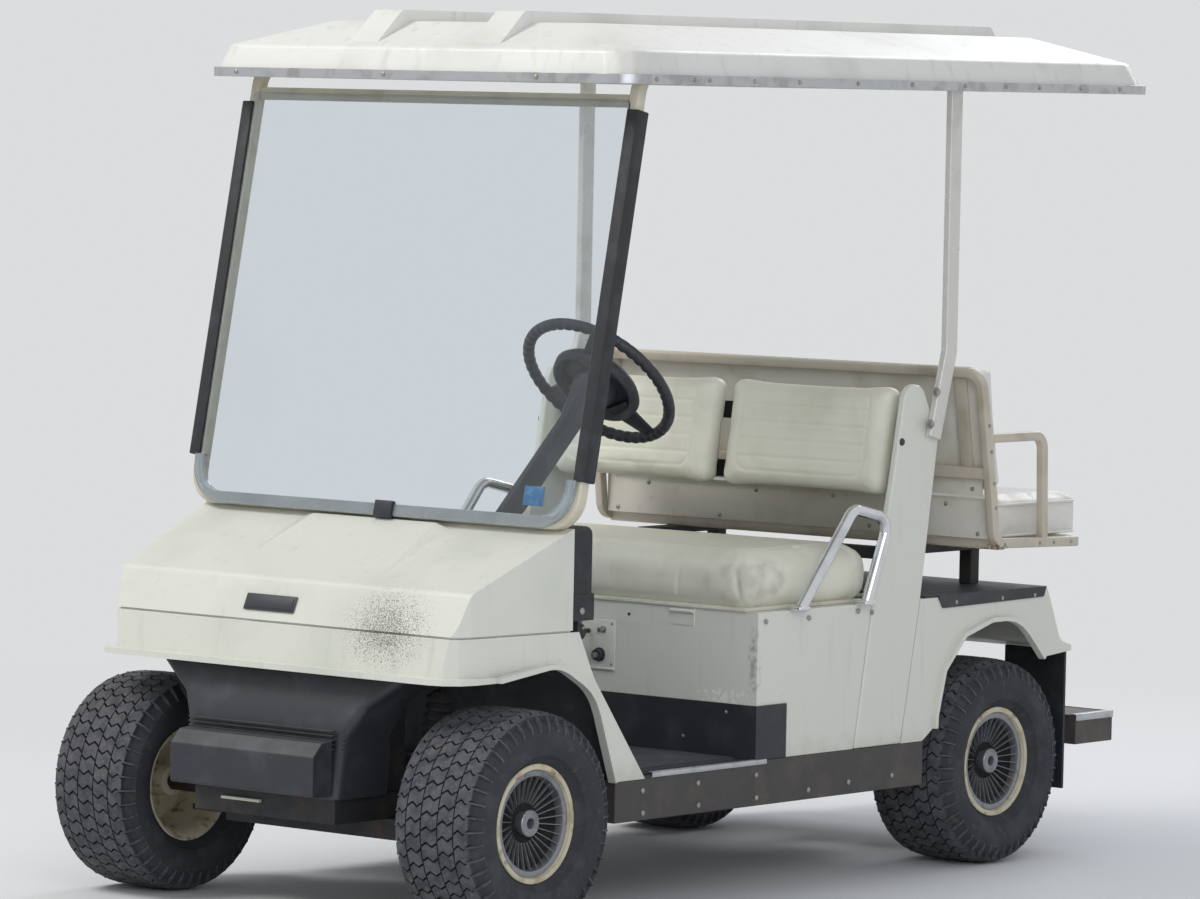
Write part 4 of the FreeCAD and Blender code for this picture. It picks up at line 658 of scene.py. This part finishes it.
def steering_wheel():
    """Rim with finger grips under it, three flat spokes and a dished hub pad over a deep boss."""
    tilt = math.radians(43.2)
    centre = at(0.25, 0.54, 1.075)
    up = Vector((0, math.cos(tilt), math.sin(tilt)))
    down = up.cross(ACROSS).normalized()
    grip = 0.0125
    reach = 0.177 - grip
    grips = 48
    dent = 0.0026
    mesh = bmesh.new()
    made = bmesh.ops.create_circle(mesh, cap_ends=False, segments=14, radius=grip,
                                   matrix=ring_frame(centre + ACROSS * reach, down))
    bmesh.ops.spin(mesh, geom=made["verts"] + edges_of(made["verts"]), cent=centre, axis=up, angle=math.tau,
                   steps=grips * 6, use_merge=True)
    for vert in mesh.verts:
        out = vert.co - centre
        flat = out - up * out.dot(up)
        angle = math.atan2(flat.dot(down), flat.dot(ACROSS))
        radial = vert.co - centre - flat.normalized() * reach
        under = max(0.0, -radial.dot(up) / grip)
        inside = max(0.0, 1 - (flat.length - reach + grip) / (2 * grip))
        between_grips = max(0.0, math.cos(angle * grips))
        vert.co -= radial.normalized() * dent * between_grips * min(1.0, under + inside * 0.8)
    for angle in (-62.0, 67.0, 162.0):
        turn = math.radians(angle)
        out = ACROSS * math.cos(turn) + down * math.sin(turn)
        beside = up.cross(out)
        spoke = bmesh.ops.create_cube(mesh, size=1.0)["verts"]
        for vert in spoke:
            far = vert.co.x > 0
            width = 0.028 if far else 0.072
            place = centre + out * (reach if far else 0.06) - up * (0.002 if far else 0.014)
            vert.co = place + beside * vert.co.y * width + up * vert.co.z * 0.007
        bevelled(mesh, edges_of(spoke), 0.0025, 2)
    pad = [(-0.06, 0.001), (-0.06, 0.03), (-0.05, 0.04), (-0.012, 0.05), (-0.006, 0.074), (-0.02, 0.082),
           (-0.025, 0.089), (-0.021, 0.096), (-0.006, 0.099), (0.004, 0.091), (0.009, 0.066), (0.011, 0.001)]
    revolve(mesh, pad, centre, 1, 40, up, ACROSS)
    disc(mesh, centre - up * 0.06, up, 0.026, 0.02, 24)
    piece("steering_wheel_grip", mesh, "dark_plastic", "steering_wheel", ("steering_wheel",), 50)


def on_slope(centre, slope):
    """Matrix for a plate that lies on a face: X across, Y up the slope, Z out of the face."""
    out = Vector((0, -slope.z, slope.y))
    return Matrix.Translation(centre) @ Matrix((ACROSS, slope, out)).transposed().to_4x4()


def narrow_board(co):
    """The toe board ends inside the cowl's legs, out of sight beside them."""
    half = 0.455
    co.x = max(-half, min(half, co.x))


def nose():
    """Hood, lower nose, band and apron, with the fittings on them."""
    softened("hood", 0.005, 3, 12)
    softened("cowl_lower", 0.003, 2, 28, arch=0.03)
    softened("cowl_band", 0.003, 2, 22)
    softened("nose_apron", 0.006, 3, 22)
    softened("bumper", 0.006, 3, 22)
    softened("dash", 0.003, 2, 30)
    softened("toe_board", 0.002, 2, 30, reshape=narrow_board)
    mesh = bmesh.new()
    cube(mesh, Vector((-0.068, -0.0175, 0.0)), Vector((0.068, 0.0175, 0.003)), 0.0014)
    cube(mesh, Vector((-0.062, -0.0125, 0.002)), Vector((0.062, 0.0125, 0.0042)), 0.001)
    slope = Vector((0, 0.039, 0.088)).normalized()
    moved(mesh, on_slope(at(-0.04, -0.1365, 0.63), slope))
    piece("bare_nameplate", mesh, "dark_plastic")
    mesh = bmesh.new()
    for side in SIDES:
        screw(mesh, at(side * 0.502, 0.192, 0.634), ACROSS * side, 0.007)
        disc(mesh, at(side * 0.5, 0.198, 0.6), ACROSS * side, 0.003, 0.0035, 12)
    piece("band_screws", mesh, "zinc")
    mesh = bmesh.new()
    for i in range(5):
        z = 0.392 - 0.009 * i
        cube(mesh, at(-0.196, -0.2075, z), at(0.196, -0.196, z + 0.003), 0.001)
        twin(mesh, at(0.2, -0.19, z), at(0.2105, -0.045, z + 0.003), 0.001)
    piece("apron_ribs", mesh, "dark_plastic")
    mesh = bmesh.new()
    cube(mesh, at(-0.112, -0.198, 0.233), at(-0.008, -0.12, 0.239), 0.001)
    cube(mesh, at(-0.112, -0.13, 0.233), at(-0.008, -0.12, 0.262), 0.001)
    bolt(mesh, at(-0.06, -0.17, 0.233), -UP, 0.007)
    piece("bumper_bracket", mesh, "seat_board")


def windscreen():
    """Square-tube hoop, rubber strips wrapped round it, the sheet's milky edging, a clip and a bare film."""
    foot = at(0, 0.15, 0.8091)
    top = at(0, 0.322, 1.668)
    half = 0.515
    line = [at(half, 0.427, 1.716), at(half, 0.332, 1.716), foot + ACROSS * half]
    line += [sided(p, -1) for p in reversed(line)]
    mesh = bmesh.new()
    bent_tube(mesh, line, (0.026, 0.026), 0.055)
    bar = foot + (top - foot) * 0.985
    bent_tube(mesh, [bar - ACROSS * half, bar + ACROSS * half], (0.012, 0.027), 0)
    piece("square_front_hoop", mesh, "cream_paint", "cart", ("front_hoop",), 50)
    slope = (top - foot).normalized()
    out = Vector((0, -slope.z, slope.y))
    in_front = out * 0.0165
    low = foot - slope * 0.001 + in_front
    high = foot + (top - foot) * 0.1 + in_front
    reach = 0.506
    mesh = bmesh.new()
    edge = [high + ACROSS * reach, low + ACROSS * reach, low - ACROSS * reach, high - ACROSS * reach]
    bent_tube(mesh, edge, (0.025, 0.013), 0.075)
    piece("screen_edging", mesh, "edging")
    mesh = bmesh.new()
    twin(mesh, Vector((0.509, 0.086, -0.016)), Vector((0.538, 0.843, 0.021)), 0.0025)
    moved(mesh, on_slope(foot, slope))
    piece("wrapped_edge_strips", mesh, "dark_rubber", "cart", ("windscreen_strips",))
    mesh = bmesh.new()
    cube(mesh, Vector((-0.024, -0.018, 0.0)), Vector((0.024, 0.018, 0.014)), 0.003)
    moved(mesh, on_slope(foot + ACROSS * 0.028 + out * 0.016, slope))
    piece("screen_clip", mesh, "dark_plastic")
    mesh = bmesh.new()
    cube(mesh, Vector((-0.026, -0.02, 0.0)), Vector((0.026, 0.02, 0.0006)), 0.0002)
    moved(mesh, on_slope(foot + slope * 0.05 + ACROSS * 0.414 + out * 0.0195, slope))
    piece("bare_screen_film", mesh, "plain_film")


def roof():
    """Moulded roof with its strip, bolts and posts."""
    softened("canopy", 0.01, 3, 5, 60)
    softened("canopy_strip", 0.0012, 2, 40)
    softened("rear_posts", 0.003, 3, finish_name="post_metal")
    strip_height = 1.7005
    stations = (0.3, 0.425, 0.471, 0.62, 0.77, 0.97, 1.16, 1.35, 1.5, 1.624, 1.78, 1.93)
    mesh = bmesh.new()
    side_heads(mesh, 0.581, [(station, strip_height) for station in stations], 0.005)
    for x in (-0.48, -0.07, 0.34):
        screw(mesh, at(x, 0.211, strip_height), FORWARD, 0.005)
        screw(mesh, at(x, 2.073, strip_height), BACKWARD, 0.005)
    piece("roof_strip_screws", mesh, "zinc")
    mesh = bmesh.new()
    side_heads(mesh, 0.5183, ((1.355, 1.044), (1.336, 0.976)), 0.008, bolt)
    piece("post_bolts", mesh, "zinc")


def bake(made):
    """Apply an object's modifiers."""
    shape = bpy.data.meshes.new_from_object(made.evaluated_get(bpy.context.evaluated_depsgraph_get()))
    made.modifiers.clear()
    made.data = shape


def foam_block(name, low, high, rounding):
    """Rounded block, remeshed evenly so that a cloth can stretch over it."""
    mesh = bmesh.new()
    cube(mesh, low, high, rounding, 4)
    made = stand(name, as_data(mesh, name))
    remesh = made.modifiers.new("Remesh", "REMESH")
    remesh.mode = "VOXEL"
    remesh.voxel_size = 0.0065
    bake(made)
    return made


def blow_up(pads, growth):
    """Swell the blocks as cloth under light pressure; no point moves further than the growth."""
    steps = 20
    for made in pads:
        cloth = made.modifiers.new("Cloth", "CLOTH")
        cloth.settings.use_pressure = True
        cloth.settings.uniform_pressure_force = 4
        cloth.settings.effector_weights.gravity = 0
    for step in range(1, steps + 1):
        bpy.context.scene.frame_set(step)
        bpy.context.view_layer.update()
    for made in pads:
        rest = [v.co.copy() for v in made.data.vertices]
        bake(made)
        for vert, home in zip(made.data.vertices, rest):
            move = vert.co - home
            if move.length > 0:
                vert.co = home + move.normalized() * growth * math.tanh(move.length / growth)
    bpy.context.scene.frame_set(1)


def groove(distance, width):
    """Depth share of a sewn line at a distance from it."""
    return math.exp(-(distance / width) ** 2)


def panel_edge(across, along, half_across, half_along, corner):
    """Distance of a point from the outline of a panel with round corners; negative inside it."""
    x = abs(across) - half_across + corner
    y = abs(along) - half_along + corner
    return math.hypot(max(x, 0), max(y, 0)) + min(max(x, y), 0) - corner


def crease_front_cushion(co):
    """A sewn panel on top, creases across the front and a flat underside."""
    top_edge = 0.69
    underside = 0.5988
    station = co.y + MIDDLE
    if co.z > top_edge:
        co.z -= 0.0025 * groove(panel_edge(co.x, station - 0.974, 0.432, 0.172, 0.05), 0.006)
    # Middle, slant and depth of each crease.
    for x, lean, depth in ((-0.3, 0.1, 0.004), (-0.08, 0.08, 0.003), (0.11, -0.06, 0.003),
                           (0.29, 0.12, 0.004), (0.455, -0.14, 0.005)):
        fade = max(0.0, 1 - abs(co.z - 0.65) / 0.055) * max(0.0, 1 - (station - 0.75) / 0.07)
        co.y += depth * fade * groove(co.x - x - (co.z - 0.63) * lean, 0.006)
    co.z = max(co.z, underside)


def sew_backrest(centre):
    """Sewn lines of a backrest: a panel with round corners and four lines across it, on its front face."""
    front_half_ends = 1.262

    def sew(co):
        if co.y + MIDDLE > front_half_ends:
            return
        across = co.x - centre
        along = co.z - 0.952
        edge = panel_edge(across, along, 0.172, 0.092, 0.03)
        dip = groove(edge, 0.0035)
        if edge < 0:
            dip = max(dip, max(groove(along - line, 0.003) for line in (0.052, 0.014, -0.024, -0.062)))
        co.y += 0.002 * dip
    return sew


def flat_under(height):
    """A pad's flat underside."""
    def flatten(co):
        co.z = max(co.z, height)
    return flatten


def flat_behind(station):
    """The flat side of a pad that lies on a board in front of it."""
    def flatten(co):
        co.y = max(co.y, station - MIDDLE)
    return flatten


def leaning(station, z, degrees):
    """Tip about a line across the cart."""
    pivot = Matrix.Translation(at(0, station, z))
    return pivot @ Matrix.Rotation(math.radians(degrees), 4, "X") @ pivot.inverted()


# The rear backrest leans with the board behind it and with the uprights that carry it.
REAR_LEAN = leaning(1.5325, 0.846, 9.7)


def cushions():
    """Padded pieces of both seats, blown up together, then sewn and leaned."""
    lean = leaning(1.228, 0.82, -10)
    level = Matrix.Identity(4)
    # Name, node, body, finish, low and high corners, rounding, sewing, lean.
    rows = (("front_seat_cushion", ("front_cushion",), "front_seat", "cream_vinyl", at(-0.488, 0.752, 0.6),
             at(0.488, 1.195, 0.7165), 0.045, crease_front_cushion, level),
            ("driver_backrest", ("backrests",), "cart", "cream_vinyl", at(0.012, 1.236, 0.825),
             at(0.464, 1.295, 1.065), 0.026, sew_backrest(0.238), lean),
            ("passenger_backrest", (), "cart", "cream_vinyl", at(-0.464, 1.236, 0.825),
             at(-0.012, 1.295, 1.065), 0.026, sew_backrest(-0.238), lean),
            ("rear_seat_cushion", ("rear_cushion",), "cart", "white_vinyl", at(-0.514, 1.606, 0.697),
             at(0.514, 1.912, 0.802), 0.018, flat_under(0.719), level),
            ("rear_seat_backrest", ("rear_backrest",), "cart", "white_vinyl", at(-0.532, 1.5285, 0.822),
             at(0.532, 1.59, 1.086), 0.006, flat_behind(1.5385), REAR_LEAN))
    pads = [foam_block(name, low, high, rounding) for name, _, _, _, low, high, rounding, _, _ in rows]
    blow_up(pads, growth=0.009)
    for made, (_, nodes, body, vinyl, _, _, _, sew, turn) in zip(pads, rows):
        smoother = made.modifiers.new("Smoother", "SUBSURF")
        smoother.levels = 1
        smoother.render_levels = 1
        bake(made)
        for vert in made.data.vertices:
            sew(vert.co)
        made.data.transform(turn)
        made.data.shade_smooth()
        settle(made, vinyl, body, nodes)


def welt(mesh, middle, half_across, half_along, corner, radius):
    """Piping round a pad: a thin closed tube on a level rectangle with round corners."""
    corners = [middle + Vector((x * half_across, y * half_along, 0))
               for x, y in ((1, -1), (1, 1), (-1, 1), (-1, -1))]
    start = middle - Vector((0, half_along, 0))
    bent_tube(mesh, [start] + corners + [start], radius, corner, 10, True)


def seat_trim():
    """Piping, boards and their screws on both seats."""
    mesh = bmesh.new()
    for z in (0.79, 0.7225):
        welt(mesh, at(0, 1.755, z), 0.5135, 0.1475, 0.024, 0.003)
    piece("white_seat_piping", mesh, "white_vinyl")
    mesh = bmesh.new()
    cube(mesh, at(-0.53, 1.533, 0.827), at(0.53, 1.5378, 1.078), 0.0015)
    moved(mesh, REAR_LEAN)
    cube(mesh, at(-0.523, 1.524, 0.814), at(0.523, 1.529, 0.852), 0.0015)
    cube(mesh, at(-0.5365, 1.54, 0.7195), at(0.5365, 1.548, 0.807), 0.0015)
    cube(mesh, at(-0.47, 0.768, 0.5984), at(0.47, 1.17, 0.606), 0.0015)
    piece("seat_boards", mesh, "seat_board")
    mesh = bmesh.new()
    front_screws(mesh, 1.54, ((0.21, 0.73), (0.505, 0.73), (0.108, 0.791), (0.417, 0.791)), 0.005)
    front_screws(mesh, 1.524, ((0.499, 0.828),), 0.005)
    piece("board_screws", mesh, "zinc")


def hip_rails():
    """Chromed grab rails beside the front seat, standing on small feet at the seat box's top edge."""
    mesh = bmesh.new()
    half_foot = 0.019
    for side in SIDES:
        x = side * 0.514
        line = [at(x, 0.898, 0.601), at(x, 1.075, 0.804), at(x, 1.203, 0.778), at(x, 1.128, 0.601)]
        bent_tube(mesh, line, 0.0125, 0.036)
        for foot in (0.898, 1.128):
            low = at(side * 0.49, foot - half_foot, 0.5965)
            cube(mesh, low, at(side * 0.5275, foot + half_foot, 0.608), 0.004, 3)
    piece("chromed_hip_rails", mesh, "chrome", "cart", ("hip_rails",), 50)


def rear_seat_frame():
    """Square tube bent in one run round the back of the rear seat, with arms, cross bars and uprights."""
    half = 0.548
    mesh = bmesh.new()
    twin(mesh, at(0.469, 1.524, 0.872), at(0.4995, 1.5325, 1.078), 0.002)
    moved(mesh, REAR_LEAN)
    line = [at(half, 1.844, 0.704), at(half, 1.538, 0.712), at(half, 1.528, 0.796), at(half, 1.477, 1.083)]
    line += [sided(p, -1) for p in reversed(line)]
    bent_tube(mesh, line, (0.022, 0.022), 0.034)
    arm = [at(half, 1.5, 0.941), at(half, 1.712, 0.941), at(half, 1.72, 0.712)]
    for side in SIDES:
        bent_tube(mesh, [sided(p, side) for p in arm], (0.02, 0.02), 0.03)
    cube(mesh, at(-0.545, 1.506, 0.851), at(0.545, 1.527, 0.876), 0.003, 3)
    cube(mesh, at(-0.545, 1.56, 0.696), at(0.545, 1.59, 0.718), 0.004, 3)
    cube(mesh, at(-0.545, 1.815, 0.696), at(0.545, 1.84, 0.718), 0.004, 3)
    piece("bent_seat_frame", mesh, "seat_frame_paint", "cart", ("rear_seat_frame",), 42)
    mesh = bmesh.new()
    places = ((1.497, 0.969), (1.507, 0.912), (1.52, 0.843), (1.529, 0.79), (1.565, 0.708), (1.697, 0.706),
              (1.75, 0.706), (1.815, 0.705))
    side_heads(mesh, 0.5588, places, 0.0042)
    piece("seat_frame_screws", mesh, "zinc")


def down_to_floor(co):
    """The scuff strip's lower edge stands on the floor."""
    if co.z < 0.31:
        co.z = FLOOR_TOP + 0.0005


def seat_box():
    """Kick panel, pillars, scuff strip, screws, and the switch plate with its key and knobs."""
    softened("seat_base", 0.002, 2, 30)
    softened("pillars", 0.005, 3)
    softened("scuff_strip", 0.0012, 2, reshape=down_to_floor)
    plate = KICK - 0.004
    mesh = bmesh.new()
    cube(mesh, at(0.018, plate, 0.452), at(0.118, KICK - 0.0003, 0.556), 0.0012)
    cube(mesh, at(0.018, KICK - 0.0075, 0.45), at(0.118, KICK - 0.001, 0.4545), 0.0012)
    piece("switch_plate", mesh, "body_plastic", "cart", ("switch_panel",))
    mesh = bmesh.new()
    key = at(0.078, plate, 0.481)
    disc(mesh, key, FORWARD, 0.015, 0.004, 28)
    disc(mesh, key + FORWARD * 0.004, FORWARD, 0.013, 0.01, 28, 0.0115)
    knob = at(0.047, plate, 0.53)
    disc(mesh, knob, FORWARD, 0.005, 0.034, 16)
    disc(mesh, knob + FORWARD * 0.032, FORWARD, 0.0185, 0.01, 32, 0.02)
    disc(mesh, knob + FORWARD * 0.042, FORWARD, 0.02, 0.016, 32, 0.015)
    for side in SIDES:
        disc(mesh, at(side * 0.5018, 1.258, 0.939), ACROSS * side, 0.0085, 0.003, 20, 0.007)
    front_screws(mesh, KICK, ((0.153, 0.572), (0.298, 0.576)), 0.0035)
    piece("knobs_and_plugs", mesh, "dark_plastic")
    mesh = bmesh.new()
    disc(mesh, key + FORWARD * 0.014, FORWARD, 0.0062, 0.0012, 20)
    cube(mesh, key + Vector((-0.0012, -0.024, -0.005)), key + Vector((0.0012, -0.0145, 0.005)), 0.0004)
    disc(mesh, at(0.088, plate, 0.535), FORWARD, 0.007, 0.003, 20)
    disc(mesh, at(0.088, KICK - 0.007, 0.535), FORWARD, 0.0042, 0.014, 16, 0.005)
    for x, z in ((0.026, 0.462), (0.11, 0.462), (0.026, 0.548), (0.11, 0.548)):
        screw(mesh, at(x, plate, z), FORWARD, 0.003)
    side_heads(mesh, BODY_HALF, ((0.947, 0.579), (1.118, 0.584), (1.167, 0.579), (0.8, 0.579)), 0.0055)
    front_screws(mesh, KICK - 0.0042, ((0.309, 0.327), (0.422, 0.386)), 0.0035)
    piece("seat_box_screws", mesh, "zinc")


def floor_sides():
    """Side boxes with their bolts, and the aluminium trims along the floor's edges."""
    softened("sills", 0.003, 2)
    mesh = bmesh.new()
    places = ((0.582, 0.258), (0.584, 0.212), (0.776, 0.26), (0.778, 0.212), (0.956, 0.215), (1.096, 0.221),
              (1.25, 0.224), (0.4, 0.256), (0.402, 0.21))
    side_heads(mesh, BODY_HALF, places, 0.0055)
    piece("side_box_screws", mesh, "zinc")
    mesh = bmesh.new()
    twin(mesh, at(0.49, 0.43, FLOOR_TOP), at(0.502, 0.81, FLOOR_TOP + 0.0025), 0.0008)
    twin(mesh, at(0.5003, 0.43, FLOOR_TOP - 0.009), at(0.502, 0.81, FLOOR_TOP + 0.002), 0.0006)
    twin(mesh, at(0.17, KICK - 0.03, FLOOR_TOP), at(0.31, KICK - 0.002, FLOOR_TOP + 0.003), 0.001)
    piece("floor_edge_trim", mesh, "aluminium_strip")


def rear_end():
    """Rear fenders and deck, cover, flaps, step and seat stand."""
    softened("rear_body", 0.003, 2, 28, arch=0.03)
    softened("deck_cover", 0.0015, 2, 30)
    softened("mud_flaps", 0.0015, 2)
    softened("rear_step", 0.002, 2)
    softened("rear_seat_stand", 0.002, 2)
    mesh = bmesh.new()
    side_heads(mesh, 0.5035, ((1.467, 0.585), (1.638, 0.585), (1.76, 0.585)), 0.0045)
    piece("deck_screws", mesh, "zinc")
    mesh = bmesh.new()
    twin(mesh, at(0.455, 2.0, 0.286), at(0.457, 2.145, 0.3005), 0.0006)
    twin(mesh, at(0.44, 2.0, 0.299), at(0.457, 2.145, 0.301), 0.0006)
    cube(mesh, at(-0.455, 2.145, 0.286), at(0.455, 2.147, 0.3005), 0.0006)
    piece("step_edge_trim", mesh, "aluminium_strip")


def cad_finishes():
    """Give every CAD node the finish of its slot."""
    for name, node in frame["nodes"].items():
        node.data.materials.clear()
        node.data.materials.append(FINISHES[SLOTS[name]])


def studio_floor():
    """Pale floor that keeps the cart's shadow and fades into the backdrop away from it."""
    material = finish("pale_studio_floor", "#E2E3E4", "#DFE0E1", 3.0, 0.9)
    tree = material.node_tree
    far = add(tree, "VectorMath", {0: point_of(tree)}, operation="LENGTH").outputs["Value"]
    fade = add(tree, "MapRange", {"Value": far, "From Min": 1.6, "From Max": 5.0},
               interpolation_type="SMOOTHSTEP").outputs["Result"]
    share = add(tree, "Math", {0: fade, 1: shown_rays(tree)}, operation="MULTIPLY").outputs["Value"]
    glow = add(tree, "Emission", {"Color": linear(PALE), "Strength": 1.0}).outputs["Emission"]
    surface = tree.nodes["Principled BSDF"].outputs["BSDF"]
    mixed = add(tree, "MixShader", {0: share, 1: surface, 2: glow}).outputs["Shader"]
    tree.links.new(mixed, tree.nodes["Material Output"].inputs["Surface"])
    return material


def shown_rays(tree):
    """1 for rays that show the backdrop: straight from the camera, mirrored, or through the screen."""
    rays = add(tree, "LightPath").outputs
    seen = rays["Is Camera Ray"]
    for other in ("Is Glossy Ray", "Is Transmission Ray"):
        seen = add(tree, "Math", {0: seen, 1: rays[other]}, operation="MAXIMUM").outputs[0]
    return seen


def studio():
    """Camera at the photograph's viewing angle, soft lamps and a pale floor."""
    lens = bpy.data.cameras.new("camera")
    lens.lens = 182.27
    lens.sensor_width = 36.0
    lens.clip_end = 200.0
    camera = stand("camera", lens)
    pan, dip, roll = (math.radians(a) for a in (39.277, 90 - 3.383, 1.135))
    camera.matrix_world = (Matrix.Translation((8.205, -10.1205, 1.676)) @ Matrix.Rotation(pan, 4, "Z")
                           @ Matrix.Rotation(dip, 4, "X") @ Matrix.Rotation(roll, 4, "Z"))
    bpy.context.scene.camera = camera
    bpy.context.scene.view_settings.view_transform = "Standard"
    # Name, place, size in metres, power in watts and colour; all look at the cart's middle.
    lamps = (("key", (-3.5, -4.5, 7.0), 3.0, 330.0, "#FFFCF8"),
             ("fill", (6.5, -5.0, 3.5), 5.0, 190.0, "#F2F6FF"),
             ("back", (-1.0, 6.5, 5.0), 4.0, 200.0, "#F4F7FF"))
    for name, place, size, power, colour in lamps:
        lamp = bpy.data.lights.new(name, "AREA")
        lamp.size = size
        lamp.energy = power
        lamp.color = linear(colour)[:3]
        holder = stand(name, lamp)
        aim = Vector((0, 0, 0.8)) - Vector(place)
        holder.matrix_world = Matrix.Translation(place) @ aim.to_track_quat("-Z", "Y").to_matrix().to_4x4()
    world = bpy.data.worlds.new("studio")
    world.use_nodes = True
    tree = world.node_tree
    light = add(tree, "Background", {"Color": linear("#F0F3F8"), "Strength": 0.5})
    shown = add(tree, "Background", {"Color": linear(PALE), "Strength": 1.0})
    mixed = add(tree, "MixShader", {0: shown_rays(tree), 1: light.outputs[0], 2: shown.outputs[0]})
    tree.links.new(mixed.outputs[0], tree.nodes["World Output"].inputs["Surface"])
    bpy.context.scene.world = world
    mesh = bmesh.new()
    bmesh.ops.create_grid(mesh, x_segments=1, y_segments=1, size=60.0)
    ground = stand("floor", as_data(mesh, "floor"))
    ground.data.materials.append(studio_floor())


studio()
cad_finishes()
tyres()
wheels()
spring_boots()
steering_wheel()
nose()
windscreen()
roof()
cushions()
seat_trim()
hip_rails()
rear_seat_frame()
seat_box()
floor_sides()
rear_end()
